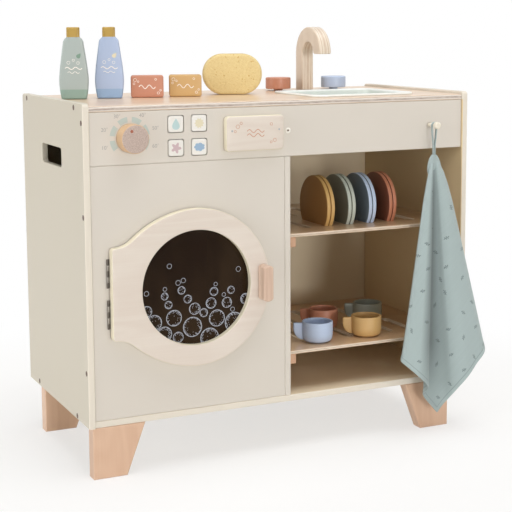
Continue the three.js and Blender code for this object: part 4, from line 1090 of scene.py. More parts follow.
# %% Tap
tap_thick, tap_outer, _ = size_of("tap") / [1, 2, 1]
TAP_INNER, TAP_EASE = 18.5, 1.5
arch = (low_high("tap")[1][2] - worktop_top) / MM - tap_outer
half_way = (tap_outer + TAP_INNER) / 2


def tap_path(steps=40):
    """Middle line (y, z) and its outward direction: up the post, then half a turn round the arch."""
    a = np.linspace(0, math.pi, steps)
    post = np.stack([np.full(6, half_way), np.linspace(0, arch, 7)[:-1]], -1)
    bend = [0, arch] + polar(half_way, a)
    return np.vstack([post, bend]), np.vstack([np.tile([1.0, 0.0], (6, 1)), polar(1, a)])


def tap_shell():
    """The rounded section (a across the bend, b along X) at each path point, eased at the spout's end."""
    line, out = tap_path()
    outline = rounded_box(tap_outer - TAP_INNER, tap_thick, 1.9, 4)
    a, b = outline.T
    rows = [np.c_[b, y + a * oy, z + a * oz] for (y, z), (oy, oz) in zip(line, out)]
    small = inset(outline, TAP_EASE)
    y, z = line[-1]
    rows[-1][:, 2] += TAP_EASE
    rows.append(np.c_[small[:, 1], y - small[:, 0], np.full(len(small), z)])
    return loft(placed(rows, [*spot("tap")[:2], worktop_top], **flat_axes))


tap_wood = plywood("tap_plywood", (232, 216, 198), (206, 184, 160), (234, 222, 206), (196, 166, 138),
                   layers=380.0, coat=0.15, roughness=0.4, turn=UPRIGHT, rings=34.0, across=0)
TENON, TENON_IN = 6, 1
tenon_place = spot("tap", z=0) + [0, half_way * MM, 0]
tenon_length = (worktop_top - tenon_place[2]) / MM + TENON_IN
tenon = turned(rod(TENON, 0, tenon_length, 0.4), tenon_place, UP, 32)
piece("tap_bend", together([tap_shell(), tenon]), "cabinet", "pale_wood", tap_wood, ["tap"])

# %% [markdown]
# Knobs and peg are turned. Each knob has a stem through the worktop, a narrow collar and a thick cap with
# soft edges. The peg has a wider head that keeps the towel's loop on.

# %% Tap knobs and towel peg
STEM, COLLAR, KNOB, COLLAR_HIGH, KNOB_HIGH = 5, 7, 20, 2.5, 20.5
PEG, PEG_HEAD, PEG_HEAD_LONG, PEG_NECK = 3, 5.2, 7.2, 0.8
for heat, colour in (("hot_tap", "terracotta"), ("cold_tap", "blue")):
    node, (slot, finish) = heat + "_knob", toy_paint[colour]
    start = spot(node, z=0)
    tail = (worktop_top - start[2]) / MM
    foot, top = tail + COLLAR_HIGH, tail + KNOB_HIGH
    profile = soften([[0, 0], [STEM, 0], [STEM, tail], [COLLAR, tail], [COLLAR, foot], [KNOB, foot],
                      [KNOB, top], [0, top]], [0, 0.5, 0.1, 0.1, 0.1, 1.6, 2.2, 0], 6)
    piece(node + "_turning", turned(profile, start, UP, 80), heat, slot, finish, [node])

length = size_of("towel_peg")[1]
head_start = length - PEG_HEAD_LONG
profile = soften([[0, 0], [PEG, 0], [PEG, head_start - PEG_NECK], [PEG_HEAD, head_start], [PEG_HEAD, length],
                  [0, length]], [0, 0.3, 0.4, 1.2, 2.6, 0], 6)
piece("peg_turning", turned(profile, spot("towel_peg", y=1), AHEAD, 48), "cabinet", "pale_wood", peg_wood,
      ["towel_peg"])

# %% [markdown]
# ## Plates, cups and washing things
# Plates are plain turned discs with soft edges. Their faces look sideways and stand in each other's shade,
# so they are painted a little darker than their rims.

# %% Plates
PLATE_SOFT = 1.8
PLATE_TONES = {"mustard": ((214, 174, 108), (172, 126, 72)), "green": ((194, 202, 192), (126, 130, 118)),
               "blue": ((202, 220, 248), (120, 136, 152)), "terracotta": ((206, 136, 106), (142, 86, 66))}
for colour, (rim_tone, face_tone) in PLATE_TONES.items():
    rim = painted(colour + "_plate_rim", rim_tone, coat=0.1)
    face = painted(colour + "_plate_face", face_tone, coat=0.1)
    for side in ("left", "right"):
        node = f"{colour}_plate_{side}"
        thick, _, radius = size_of(node) / [1, 1, 2]
        disc = turned(rod(radius, 0, thick, PLATE_SOFT, 6), spot(node, x=0), ALONG, 128)
        plate = piece(node + "_turning", disc, "loose_" + node, toy_paint[colour][0], rim, [node])
        second_finish(plate, face, 0)

# %% [markdown]
# Cups are turned too, with a round belly on a small foot. Their handle is a solid tab with a quarter of an
# ellipse cut away below, sawn from a board and let into the wall, so it overlaps the cup and needs no join.

# %% Cups
cup_shares = {"blue": (0.2316, 0.1281), "terracotta": (0.4029, 0.395), "mustard": (0.5254, 0.1317),
              "green": (0.6932, 0.4203)}
CUP_TURNS = {"blue": -22, "terracotta": -38, "mustard": -22, "green": -30}
HANDLE_THICK, HANDLE_IN, HANDLE_OUT, HANDLE_TOP = 7.0, 21.5, 36, 28.5
CUT_WIDE, CUT_HIGH, CUT_MIDDLE = 14.5, 16.67, 20.17
cup_section = soften([[0, 0], [13, 0], [13, 1.4], [20.6, 1.5], [23, 9.5], [23, 31], [20, 31], [20, 11],
                      [17.5, 4.6], [0, 4.6]], [0, 0.5, 0.5, 5, 7, 1.4, 1.4, 7, 5, 0], 6)
a = np.linspace(math.pi, 1.5 * math.pi, 15)
cut = np.stack([CUT_WIDE * np.cos(a) - HANDLE_IN, CUT_MIDDLE + CUT_HIGH * np.sin(a)], -1)
tab = np.vstack([[[-HANDLE_IN, HANDLE_TOP], [-HANDLE_OUT, HANDLE_TOP]], cut])
tab = resampled(soften(tab, 1.2, 4, closed=True), 64)


def turned_axes(degrees):
    """The axes u and w of a thing that stands turned about the vertical."""
    turn = math.radians(degrees)
    return {"u": (math.cos(turn), math.sin(turn), 0), "w": (-math.sin(turn), math.cos(turn), 0)}


for colour, shares in cup_shares.items():
    slot, finish = toy_paint[colour]
    axes = turned_axes(CUP_TURNS[colour])
    stand = spot("lower_shelf", *shares, 1) + [0, 0, SEAT_GAP * MM]
    points, faces = board(tab, HANDLE_THICK, 1.4, stand, **axes)
    handle = (points - MM * HANDLE_THICK / 2 * np.array(axes["w"]), faces)
    cup = together([turned(cup_section, stand, UP, 96), handle])
    piece(colour + "_cup_turning", cup, f"loose_{colour}_cup", slot, finish, [colour + "_cup"])

# %% [markdown]
# Bottles are sawn boards with routed edges. Half their outline is a short table of shares of their width
# and height, and the other half is its mirror. The cap and the stripe at the foot are only paint, so their
# finish follows the height. A few bubbles and a small picture are printed in front.

# %% Bottles
show_axes = turned_axes(-20)


def banded(body, band, foot):
    """A tone in three steps by height: a stripe at the foot, the body, and the cap."""
    def tone(tree, vector):
        """The tone at a place's height."""
        height = xyz(tree, vector)[2]
        in_body, in_cap = (ramp(tree, height, foot + z, foot + z + 0.0003) for z in (BAND_TOP, CAP_FOOT))
        return blend(tree, in_cap, blend(tree, in_body, tint(*band), tint(*body)), tint(180, 147, 64))
    return tone


def standing(node, depth):
    """The foot of a thing that stands turned on the worktop: the middle of its front face's lower edge."""
    return spot(node, z=0) - MM * depth / 2 * np.array(show_axes["w"]), size_of(node)[2]


BOTTLE, BOTTLE_THICK, BOTTLE_SOFT, BAND_TOP, CAP_FOOT = 44, 20, 2.4, 0.0137, 0.088
bottle_shares = np.array([[0.405, 0], [0.455, 0.126], [0.477, 0.253], [0.44, 0.428], [0.312, 0.8],
                          [0.207, 0.838], [0.207, 0.974]])
bottle_radii = [2, 8, 8, 12, 3.5, 1.2, 1.5]
for colour, slot, body, band, picture in (("green", "sage_paint", (170, 182, 180), (142, 168, 158), "leaf"),
                                          ("blue", "blue_paint", (174, 192, 224), (148, 177, 213), "sand")):
    node = colour + "_bottle"
    front, tall = standing(node, BOTTLE_THICK)
    half = bottle_shares * [BOTTLE, tall]
    both = np.vstack([half, half[::-1] * [-1, 1]])
    outline = soften(both, bottle_radii + bottle_radii[::-1], 6, closed=True)
    finish = painted(node + "_paint", banded(body, band, front[2]), coat=0.1)
    sawn = board(resampled(outline, 200), BOTTLE_THICK, BOTTLE_SOFT, front, **show_axes)
    piece(node + "_board", sawn, "loose_" + node, slot, finish, [node])
    marks = [wave(12, 1.6, 44, 1.1), wave(12, 1.2, 38, 0.7, 0.7)]
    marks += bubble_prints(0.5, 24, ((-7, 52, 2.2), (0, 55.5, 1.6), (6.5, 51.5, 1.9)))
    printed(node + "_marks", marks, front, "loose_" + node, "white_board", ink["white"], **show_axes)
    leaf = 0.55 * drop @ np.array([[0.8, -0.6], [0.6, 0.8]]) + [8, 62]
    printed(node + "_drop", [flat_print(leaf)], front, "loose_" + node, "sage_paint", ink[picture],
            **show_axes)

# %% [markdown]
# Soap bars are blocks of painted wood with routed edges, so the board helper makes them from one rounded
# rectangle. They stand turned like the bottles, and their print is a wave and a few bubbles.

# %% Soap bars
SOAP_WIDTH, SOAP_THICK, SOAP_CORNER, SOAP_SOFT = 47.5, 24, 3.2, 1.8
for colour in ("terracotta", "mustard"):
    node, (slot, finish) = colour + "_soap_bar", toy_paint[colour]
    front, tall = standing(node, SOAP_THICK)
    middle_up = front + [0, 0, tall / 2 * MM]
    outline = rounded_box(SOAP_WIDTH, tall, SOAP_CORNER, 5)
    block = board(outline, SOAP_THICK, SOAP_SOFT, middle_up, **show_axes)
    piece(node + "_block", block, "loose_" + node, slot, finish, [node])
    marks = [wave(12, 2.6, -0.5, 1.1)] + bubble_prints(0.55, 24, (
        (-17.5, 9.5, 2.3), (-13, 7.2, 1.2), (-19, 4.2, 1.3), (16, -9.6, 1.7), (19.3, -5.6, 1.2),
        (12.4, 10.2, 1.4)))
    printed(node + "_marks", marks, middle_up, "loose_" + node, "white_board", ink["white"], **show_axes)

# %% [markdown]
# Foam is full of small holes. Modelling each one would take millions of faces, so the finest are left to
# the finish: two cell textures, one fine and one wider, whose small cells sink and are darkened with painted
# shade for the inside of each hole.

# %% Foam


def cell_middles(tree, vector, scale, low, high):
    """1 in the middle of each cell of a Voronoi texture, 0 past a distance."""
    cell = add(tree, "ShaderNodeTexVoronoi", {"Vector": vector, "Scale": scale}).outputs["Distance"]
    return flip(tree, ramp(tree, cell, low, high))


foam, tree, shader = new_material("sponge_foam", 0.9)
vector = object_vector(tree)
fine_pore = cell_middles(tree, vector, 640.0, 0.12, 0.5)
wide_pore = cell_middles(tree, vector, 190.0, 0.1, 0.3)
chosen = ramp(tree, noise(tree, vector, 160.0, 1.0), 0.5, 0.58)
faint, open_pore = calc(tree, "MULTIPLY", fine_pore, 0.3), calc(tree, "MULTIPLY", wide_pore, chosen)
hole_depth_and_painted_shade = calc(tree, "MAXIMUM", faint, open_pore)
mottled = blend(tree, noise(tree, vector, 300.0, 4.0), tint(238, 220, 164), tint(224, 201, 146))
# The darker tone in the cells is painted shade inside the holes.
feed(shader, Base_Color=blend(tree, calc(tree, "MULTIPLY", hole_depth_and_painted_shade, 0.85), mottled, tint(196, 150, 66)))
bump(shader, flip(tree, hole_depth_and_painted_shade), 0.4, 0.0006)
print("foam nodes", len(tree.nodes))

# %% [markdown]
# The sponge is flat on its front and back and round at both ends. It is a padded piece, so its faces bulge
# a little. Its larger holes show at the outline too, so they are pressed into the grid at seeded places.

# %% Sponge
SPONGE_WIDTH, SPONGE_THICK, SPONGE_EDGE, BULGE, HOLES, HOLE_DEPTH, DEEPEST = 89, 28, 5.0, 0.9, 90, 0.8, 1.6


def pressed(points, centres, radii, depth):
    """Depth of the holes at each point: the sum of depth*r*exp(-(d/r)**2) over the centres."""
    gap = ((points[:, None, :] - centres[None]) ** 2).sum(-1)
    return (depth * radii * np.exp(-gap / radii ** 2)).sum(1)


def sponge_rows(width, height, thickness, edge):
    """Rows (x, z, depth): front from its middle out, a round edge and the back, with holes pressed in."""
    outline = resampled(rounded_box(width, height, height / 2 - 0.6, 24), 300)
    face = inset(outline, edge)
    half = [level(face * s, BULGE - BULGE * math.cos(s * HALF)) for s in np.linspace(0.03, 1, 34)]
    half += [level(inset(outline, edge * (1 - np.sin(t))), BULGE + (edge - BULGE) * (1 - np.cos(t)))
             for t in np.linspace(0, HALF, 9)[1:]]
    rows = np.array(half + [row * [1, 1, -1] + [0, 0, thickness] for row in half[::-1]])
    flat = rows.reshape(-1, 3)
    source = np.random.default_rng(41)
    centres = np.stack([source.uniform(-side / 2, side / 2, HOLES) for side in (width, height)], -1)
    holes = pressed(flat[:, :2], centres, source.uniform(0.5, 1.1, HOLES), HOLE_DEPTH)
    ahead = np.where(flat[:, 2] < thickness / 2, 1.0, -1.0)
    inside = np.clip((np.abs(flat[:, 2] - thickness / 2) - thickness / 2 + edge) / edge, 0, 1)
    flat[:, 2] += ahead * inside * np.minimum(holes, DEEPEST)
    return flat.reshape(rows.shape)


front, tall = standing("sponge", SPONGE_THICK)
rows = sponge_rows(SPONGE_WIDTH, tall, SPONGE_THICK, SPONGE_EDGE)
shell = loft(placed(rows, front + [0, 0, tall / 2 * MM], **show_axes))
sponge = piece("sponge_body", shell, "loose_sponge", "foam", foam, ["sponge"], sharp=180)

# %% [markdown]
# ## Towel
# A square cotton cloth hangs by one corner, so its threads run at 45 degrees. The flat place of every point
# is kept as its UV, and the weave, the hem's stitches and the print are drawn on the flat cloth. On Object
# coordinates the threads would run straight through the folds. A second UV map gives painted shade deep in
# the folds.

# %% The weave, the print and painted fold shade
weave, given, end = new_group("cotton_cloth_and_painted_fold_shade", [
    ("Flat", VECTOR, None), ("Tone", COLOUR, (0.4, 0.5, 0.5, 1)), ("Print", COLOUR, (0.15, 0.2, 0.2, 1)),
    ("Side", NUMBER, 0.274), ("Motifs", NUMBER, 1.0), ("Hollow", NUMBER, 0.0)])
THREAD, HEM, CELL, TIP = 0.0011, 0.0062, 0.031, (0.028, 0.034)
cloth = partial(calc, weave)
flat_place = given["Flat"]
parts = xyz(weave, flat_place)
warp, weft = (cloth("SINE", cloth("MULTIPLY", part, 2 * math.pi / THREAD)) for part in parts[:2])
thread = cloth("MULTIPLY_ADD", cloth("MULTIPLY", warp, weft), 0.5, 0.5)
fuzz = noise(weave, flat_place, 900.0, 3.0)
streak = noise(weave, flat_place, 1.0, 2.0, stretch=(12.0, 300.0, 1.0))
to_edges = [cloth("MINIMUM", part, cloth("SUBTRACT", given["Side"], part)) for part in parts[:2]]
edge = cloth("MINIMUM", *to_edges)
fold_line = flip(weave, ramp(weave, cloth("ABSOLUTE", cloth("SUBTRACT", edge, HEM)), 0.0002, 0.0008))
cell = add(weave, "ShaderNodeTexVoronoi", {"Vector": flat_place, "Scale": 1 / CELL, "Randomness": 0.55},
           voronoi_dimensions="2D").outputs
place = vectors(weave, "SUBTRACT", {0: flat_place, 1: cell["Position"]})
angle = cloth("MULTIPLY", add(weave, "ShaderNodeSeparateColor", {0: cell["Color"]}).outputs[0], 6.283)
spin = add(weave, "ShaderNodeVectorRotate", {"Vector": place, "Angle": angle}, rotation_type="Z_AXIS")
spun = xyz(weave, vectors(weave, "SCALE", {0: spin.outputs[0], "Scale": 0.8}))


def dots(places, radius):
    """Small round dots at fixed places (mm) about the middle of each motif."""
    made = None
    for x, y in places:
        dx, dy = cloth("SUBTRACT", spun[0], x * MM), cloth("SUBTRACT", spun[1], y * MM)
        gap = cloth("SQRT", cloth("ADD", cloth("MULTIPLY", dx, dx), cloth("MULTIPLY", dy, dy)))
        dot = flip(weave, ramp(weave, gap, (radius - 0.2) * MM, (radius + 0.2) * MM))
        made = dot if made is None else cloth("MAXIMUM", made, dot)
    return made


stem = cloth("MULTIPLY", *[flip(weave, ramp(weave, cloth("ABSOLUTE", part), low, high))
                           for part, low, high in ((spun[0], 0.00018, 0.0005), (spun[1], 0.0026, 0.0031))])
motif = cloth("MAXIMUM", stem, dots([(0, 3.5), (1.3, 2.1), (-1.3, 1.1), (1.2, 0.1), (-1.1, -0.9)], 0.62))
free = ramp(weave, vectors(weave, "LENGTH", {0: flat_place}), *TIP)
motif = cloth("MULTIPLY", cloth("MULTIPLY", motif, 0.75), cloth("MULTIPLY", given["Motifs"], free))
fold_line = cloth("MULTIPLY", fold_line, free)
wear_and_painted_fold_shade = cloth("MULTIPLY_ADD", cloth("SUBTRACT", fuzz, 0.5), 0.22,
             cloth("MULTIPLY_ADD", thread, 0.08, cloth("MULTIPLY_ADD", streak, 0.1, 0.91)))
# The second mask darkens the cloth deep in its folds: painted shade.
for mask, share in ((fold_line, -0.3), (given["Hollow"], -0.58)):
    wear_and_painted_fold_shade = cloth("MULTIPLY", wear_and_painted_fold_shade, cloth("MULTIPLY_ADD", mask, share, 1.0))
cloth_tone = vectors(weave, "SCALE", {0: given["Tone"], "Scale": wear_and_painted_fold_shade})
feed(end, Color=blend(weave, motif, cloth_tone, given["Print"]),
     Height=cloth("MULTIPLY_ADD", fold_line, -1.5, cloth("MULTIPLY_ADD", fuzz, 0.4, thread)))


def woven(name, motifs):
    """Cotton whose threads follow the flat cloth, with painted shade deep in the folds."""
    material, tree, shader = new_material(name, 0.85)
    shader.inputs["Sheen Weight"].default_value = 0.25
    shader.inputs["Sheen Roughness"].default_value = 0.5
    flat, hollow = (add(tree, "ShaderNodeUVMap", uv_map=title).outputs[0] for title in ("flat", "hollow"))
    look = place_group(tree, weave, Flat=flat, Tone=tint(166, 182, 184), Print=tint(62, 76, 76),
                       Motifs=motifs, Hollow=xyz(tree, hollow)[0])
    feed(shader, Base_Color=look["Color"])
    bump(shader, look["Height"], 0.35, 0.0003)
    return material


cotton, plain_cotton = woven("printed_cotton", 1.0), woven("plain_cotton", 0.0)

# %% [markdown]
# A cloth simulation could drape the towel, but it would fold in its own way. The folds, seen from above,
# are one smooth line through a list of places, and a Catmull-Rom curve passes through all of them. It is
# then divided into equal steps, so the columns of the cloth are evenly wide.

# %% Line of the folds
fold_shares = np.array([
    [-0.07, 0.003], [-0.01, 0.004], [0.04, 0.0], [0.065, -0.009], [0.02, -0.016], [-0.08, -0.017],
    [-0.16, -0.022], [-0.207, -0.036], [-0.218, -0.06], [-0.18, -0.089], [-0.125, -0.103], [-0.083, -0.098],
    [-0.071, -0.078], [-0.074, -0.052], [-0.045, -0.034], [0.0, -0.031], [0.043, -0.046], [0.075, -0.077],
    [0.125, -0.103], [0.21, -0.11], [0.28, -0.09], [0.302, -0.052], [0.275, -0.012], [0.2, 0.008],
    [0.1, 0.014], [-0.06, 0.019]])


def through(points, t):
    """Centripetal Catmull-Rom: cubics whose end slopes weigh the steps by the root of their length."""
    points = np.array([2 * points[0] - points[1], *points, 2 * points[-1] - points[-2]])
    place = np.clip(t, 0, 1) * (len(points) - 3)
    i = np.minimum(place.astype(int), len(points) - 4)
    w = (place - i)[:, None]
    p = [points[i + k] for k in range(4)]
    d = [np.sqrt(np.linalg.norm(p[k + 1] - p[k], axis=1))[:, None] for k in range(3)]
    a = ((p[1] - p[0]) / d[0] - (p[2] - p[0]) / (d[0] + d[1]) + (p[2] - p[1]) / d[1]) * d[1]
    b = ((p[2] - p[1]) / d[1] - (p[3] - p[1]) / (d[1] + d[2]) + (p[3] - p[2]) / d[2]) * d[1]
    return p[1] + a * w + (3 * (p[2] - p[1]) - 2 * a - b) * w ** 2 + (2 * (p[1] - p[2]) + a + b) * w ** 3


columns = np.linspace(0, 1, 400)
line = through(fold_shares, np.linspace(0, 1, 4000))
run = lengths_along(line)
curve = np.stack([np.interp(columns * run[-1], run, line[:, k]) for k in (0, 1)], -1)
print("the line of folds is", round(run[-1], 2), "sides long")

# %% [markdown]
# Each fold line starts at the gathered corner. In the flat cloth it has a known length up to the hem. Hung
# up, it keeps that length and only leans out, so the fan closes into folds without stretching, and the hung
# cloth's area shows how true that is.

# %% Hung cloth
SIDE, DROP, START, FLARE_START, FLARE = 274.0, 46.0, 3.0, 50.0, 350.0
rows = np.r_[np.linspace(0, 1, 66)[:-3] ** 1.2, np.linspace(0.96, 1, 14)]
down = rows[:, None]
angle = (columns - 0.5) * HALF
hem = SIDE / np.cos(HALF / 2 - np.abs(angle))
reach = START + down * (hem - START)[None]
taper = np.interp(reach, [0, 3, 8, 14, 28, 45, 70], [0.08, 0.14, 0.38, 0.62, 0.84, 0.95, 1.0])
spread = (reach + FLARE_START) / FLARE * SIDE * taper
along = unit(np.gradient(curve, axis=0))
ripple = down ** 6 * (0.8 * np.sin(columns * 61) + 0.5 * np.sin(columns * 97 + 1.3))
ripple = ripple + 0.5 * np.sin(columns * 38 + 5 * down) * down * (1 - down)
x, y = curve[:, 0] * spread - along[:, 1] * ripple, curve[:, 1] * spread + along[:, 0] * ripple
hang = np.stack([x, y, -np.sqrt(np.maximum(reach ** 2 - x ** 2 - y ** 2, 0)) - DROP], -1)
flat = polar(reach, HALF / 2 + angle)
quads = np.cross(hang[1:, :-1] - hang[:-1, :-1], hang[:-1, 1:] - hang[:-1, :-1])
print("cloth area", round(float(np.linalg.norm(quads, axis=-1).sum())), "of", SIDE ** 2)

# %% [markdown]
# The cloth gets its thickness along the normal of the line of folds, and more of it along the hem, where it
# is folded over. Solidify would thicken it evenly. Front, back and border are one closed shell, and each
# point keeps its flat place for the weave.

# %% Both sides of the cloth
CLOTH_HALF, HEM_MORE, END_SHARE, HEM_WIDE, HEM_SOFT, FULL_FROM = 0.45, 0.4, 0.55, 7.0, 1.4, 110
bead = np.clip((HEM_WIDE - np.minimum(flat, SIDE - flat).min(-1)) / HEM_SOFT, 0, 1)
at_end = np.isin(np.arange(len(rows)), (0, len(rows) - 1))[:, None]
half_thick = CLOTH_HALF + HEM_MORE * bead * bead * (3 - 2 * bead)
half_thick = half_thick * np.where(at_end, END_SHARE, 1.0) * np.clip(spread / FULL_FROM, 0.3, 1)
side_way = np.stack([-along[:, 1], along[:, 0], 0 * along[:, 0]], -1)[None] * half_thick[..., None]
layers = np.stack([hang - side_way, hang + side_way])
count, wide = len(rows), len(columns)
front_faces = grid_faces(count, wide)
back_faces = front_faces[:, ::-1] + count * wide
border = np.r_[np.arange(wide), np.arange(1, count) * wide + wide - 1,
               (count - 1) * wide + np.arange(wide - 2, -1, -1), np.arange(count - 2, 0, -1) * wide]
following = np.roll(border, -1)
rim_faces = np.stack([following, border, border + count * wide, following + count * wide], 1)
towel_origin = at(534.5, -11, 391.2)
sewn = partial(piece, body="hanging_towel", slot="cloth", stands_for=["towel"])


def with_map(made, name, points):
    """Stores two numbers for each point as a UV map."""
    layer = made.data.uv_layers.new(name=name)
    owners = np.empty(len(made.data.loops), np.int32)
    made.data.loops.foreach_get("vertex_index", owners)
    layer.data.foreach_set("uv", np.asarray(points, float)[owners].ravel())


def with_flat(made, points, hollow=0.0):
    """Stores each point's flat place (m) and how much painted shade it gets deep in a fold (0 to 1)."""
    with_map(made, "flat", MM * np.asarray(points, float))
    with_map(made, "hollow", np.stack([np.zeros(len(points)) + hollow] * 2, -1))


faces = np.vstack([front_faces, back_faces, rim_faces]).tolist()
towel = sewn("towel_cloth", (towel_origin + MM * layers.reshape(-1, 3), faces), material=cotton, sharp=60)
# Painted shade: the cloth is darker deep in the main fold, and less so near the gather and at the hem.
deep = np.interp(curve[:, 0], [-0.14, -0.075, -0.02, 0.0, 0.075], [0, 1, 1, 0.8, 0]) * (curve[:, 1] < -0.025)
fold_shade_strength = np.interp(reach, [0, 30, 60, 280, 350], [0.5, 0.8, 1.0, 1.0, 0.3])
with_flat(towel, np.vstack([flat.reshape(-1, 2)] * 2), np.tile((deep[None] * fold_shade_strength).ravel(), 2))

# %% [markdown]
# The corner is gathered under a strap. The gather is a small hood with soft pleats: a turned profile whose
# radius swings with the angle, pressed flat from front to back.

# %% Gather
gather_profile = soften([[0, 3.0], [4.6, 2.4], [9.2, -4.5], [11.8, -15], [10.6, -27], [0, -34]],
                        [0, 2, 5, 8, 5, 0], 6)
a = full_turn(96)[None]
pleat = 0.07 * np.cos(3 * a + 0.6) + 0.045 * np.cos(7 * a + 1.9)
height = gather_profile[1:-1, 1, None] + 0 * a
radius = gather_profile[1:-1, 0, None] * (1 + pleat * np.clip((2.7 - height) / 18, 0, 1))
lean = np.clip(-height / 27, 0, 1)
hood = np.stack([1.4 * lean + radius * np.cos(a), 3.0 * lean + 0.34 * radius * np.sin(a), height - DROP], -1)
gather = sewn("towel_gather", loft(towel_origin + MM * hood), material=plain_cotton, sharp=70)
around = np.stack([20 + 12 * a + 0 * height, 60 + height], -1).reshape(-1, 2)
with_flat(gather, np.vstack([around, around[:2]]))

# %% [markdown]
# The strap is a flat ribbon carried round the peg, with its two ends sewn together. Its path is a smooth
# curve through a few places, with a half circle over the peg that keeps its clearance.

# %% Strap
PLAY, STRAP_THICK, STRAP_WIDTH = 0.3, 1.5, 5.0
peg_ring = PEG + PLAY + STRAP_THICK / 2
a = np.linspace(0, math.pi, 25)
lines = np.vstack([[[-1.0, -52.0], [-0.95, -44.0], [-0.95, -36.0], [-1.5, -27.0], [-3.0, -14.0]],
                   polar(peg_ring, a) * [-1, 1],
                   [[3.0, -14.0], [1.5, -27.0], [0.95, -36.0], [0.95, -44.0], [1.0, -52.0]]])
path = through(lines, np.linspace(0, 1, 170))
step = unit(np.gradient(path, axis=0))
ribbon = rounded_box(STRAP_THICK, STRAP_WIDTH, 0.6, 3)
turn = 0.25 * np.sin(np.linspace(0, 2 * np.pi, len(path)))[:, None]
across = ribbon[None, :, 0] * np.cos(turn) - ribbon[None, :, 1] * np.sin(turn)
deep = ribbon[None, :, 0] * np.sin(turn) + ribbon[None, :, 1] * np.cos(turn)
strap_rows = np.stack([path[:, 0, None] - step[:, 1, None] * across, deep,
                       path[:, 1, None] + step[:, 0, None] * across], -1)
strap = sewn("towel_strap", loft(towel_origin + MM * strap_rows), material=plain_cotton)
length = lengths_along(path)
ribbon_flat = np.stack(np.broadcast_arrays(40 + ribbon[None, :, 1], 60 + length[:, None]), -1).reshape(-1, 2)
with_flat(strap, np.vstack([ribbon_flat, ribbon_flat[[0, -1]]]))

# %% [markdown]
# ## Room, light and camera
# The unit stands on a pale floor that fades to white away from it. Where the camera looks, floor and world
# are white. Where their light falls on the unit they are dimmer, and the world is warmer, because a white
# room would wash out the pale paint.

# %% Floor
around = full_turn(96)
rings = np.array([level(polar(r, around), cad_box[0][2]) for r in (0.02, 0.3, 0.6, 1.2, 2.5, 6, 14, 40)])
points, faces = loft(rings)
floor_mesh = bpy.data.meshes.new("floor")
floor_mesh.from_pydata(points[:-1].tolist(), [], [f for f in faces if len(points) - 1 not in f])
floor = linked("floor", floor_mesh)


def seen_by_eye(tree):
    """1 for rays from the camera and for those that a gloss or a clear pane sends on, else 0."""
    paths = add(tree, "ShaderNodeLightPath").outputs
    sent_on = calc(tree, "MAXIMUM", paths["Is Glossy Ray"], paths["Is Transmission Ray"])
    return calc(tree, "MAXIMUM", paths["Is Camera Ray"], sent_on)


def mixed_light(tree, share, first, second):
    """The output of a Mix Shader node."""
    return add(tree, "ShaderNodeMixShader", {0: share, 1: first.outputs[0], 2: second.outputs[0]}).outputs[0]


material, tree, shader = new_material("floor_sheet", 0.7)
white_light = add(tree, "ShaderNodeEmission", {"Color": (1, 1, 1, 1), "Strength": 1.0})
distance = vectors(tree, "LENGTH", {0: add(tree, "ShaderNodeTexCoord").outputs["Object"]})
seen = seen_by_eye(tree)
share = calc(tree, "MULTIPLY", calc(tree, "MULTIPLY_ADD", ramp(tree, distance, 0.42, 0.85), 0.38, 0.62), seen)
feed(shader, Base_Color=blend(tree, seen, tint(226, 222, 214), tint(251, 251, 251)))
feed(tree.nodes["Material Output"], Surface=mixed_light(tree, share, shader, white_light))
floor_mesh.materials.append(material)
print("floor rings", len(rings))

# %% [markdown]
# A narrow sun in front reaches the back of the compartments. Wide suns from the left and from above give
# the soft light outside, two weak ones stand on both sides of the camera, and the world fills the rest.
# Area lamps would do as well, but a sun lights every view of the unit alike.

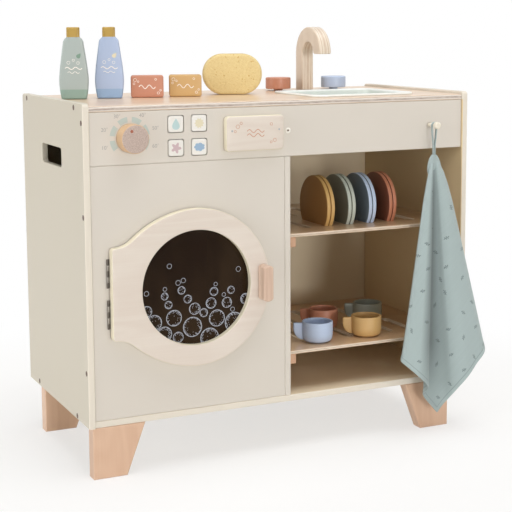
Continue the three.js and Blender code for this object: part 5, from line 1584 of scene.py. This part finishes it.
# %% World and lamps
world = bpy.data.worlds.new("studio")
bpy.context.scene.world = world
world.use_nodes = True
tree = world.node_tree
tree.nodes.clear()
soft = add(tree, "ShaderNodeBackground", {"Color": (1.0, 0.9, 0.74, 1), "Strength": 0.2})
plain = add(tree, "ShaderNodeBackground", {"Color": (1, 1, 1, 1), "Strength": 1.0})
add(tree, "ShaderNodeOutputWorld", {"Surface": mixed_light(tree, seen_by_eye(tree), soft, plain)})
for name, towards, strength, degrees in (
        ("front", (0.0, -0.999, 0.035), 0.35, 13), ("front_right", (0.42, -0.84, 0.35), 0.07, 50),
        ("front_left", (-0.6, -0.77, 0.2), 0.08, 50), ("left", (-0.97, -0.1, 0.16), 0.45, 36),
        ("above", (0.1, -0.12, 0.98), 0.62, 50)):
    lamp = bpy.data.lights.new(name, "SUN")
    lamp.energy, lamp.angle = strength * math.pi, math.radians(degrees)
    linked(name, lamp).rotation_euler = Vector(towards).to_track_quat("Z", "Y").to_euler()
print("lamps", len(bpy.data.lights))

# %% [markdown]
# The camera stands where the photographer's did, found from the straight edges of the cabinet. Its lens is
# long, and a small vertical shift keeps the upright boards upright.

# %% Camera
camera_place = at(-511.256, -1625.449, 542.221)
turn, tilt, roll = math.radians(25.0774), math.radians(7.5452), math.radians(-0.3292)
ahead = np.array([math.sin(turn) * math.cos(tilt), math.cos(turn) * math.cos(tilt), -math.sin(tilt)])
sideways = np.array([math.cos(turn), -math.sin(turn), 0.0])
over = np.cross(sideways, ahead)
right = sideways * math.cos(roll) + over * math.sin(roll)
up = -sideways * math.sin(roll) + over * math.cos(roll)
SENSOR, FOCAL_PIXELS, PICTURE, SHIFT, FAR_CLIP = 36.0, 1297.19, 512, -0.12, 100
lens = bpy.data.cameras.new("photo_camera")
lens.sensor_width, lens.lens = SENSOR, FOCAL_PIXELS / PICTURE * SENSOR
lens.shift_y, lens.clip_end = SHIFT, FAR_CLIP
camera = linked("photo_camera", lens)
matrix = np.eye(4)
matrix[:3, :3] = np.stack([right, up, -ahead], 1)
matrix[:3, 3] = camera_place
camera.matrix_world = Matrix(matrix.tolist())
bpy.context.scene.camera = camera
bpy.context.scene.view_settings.view_transform = "Standard"
print("lens", round(lens.lens, 2), "mm")
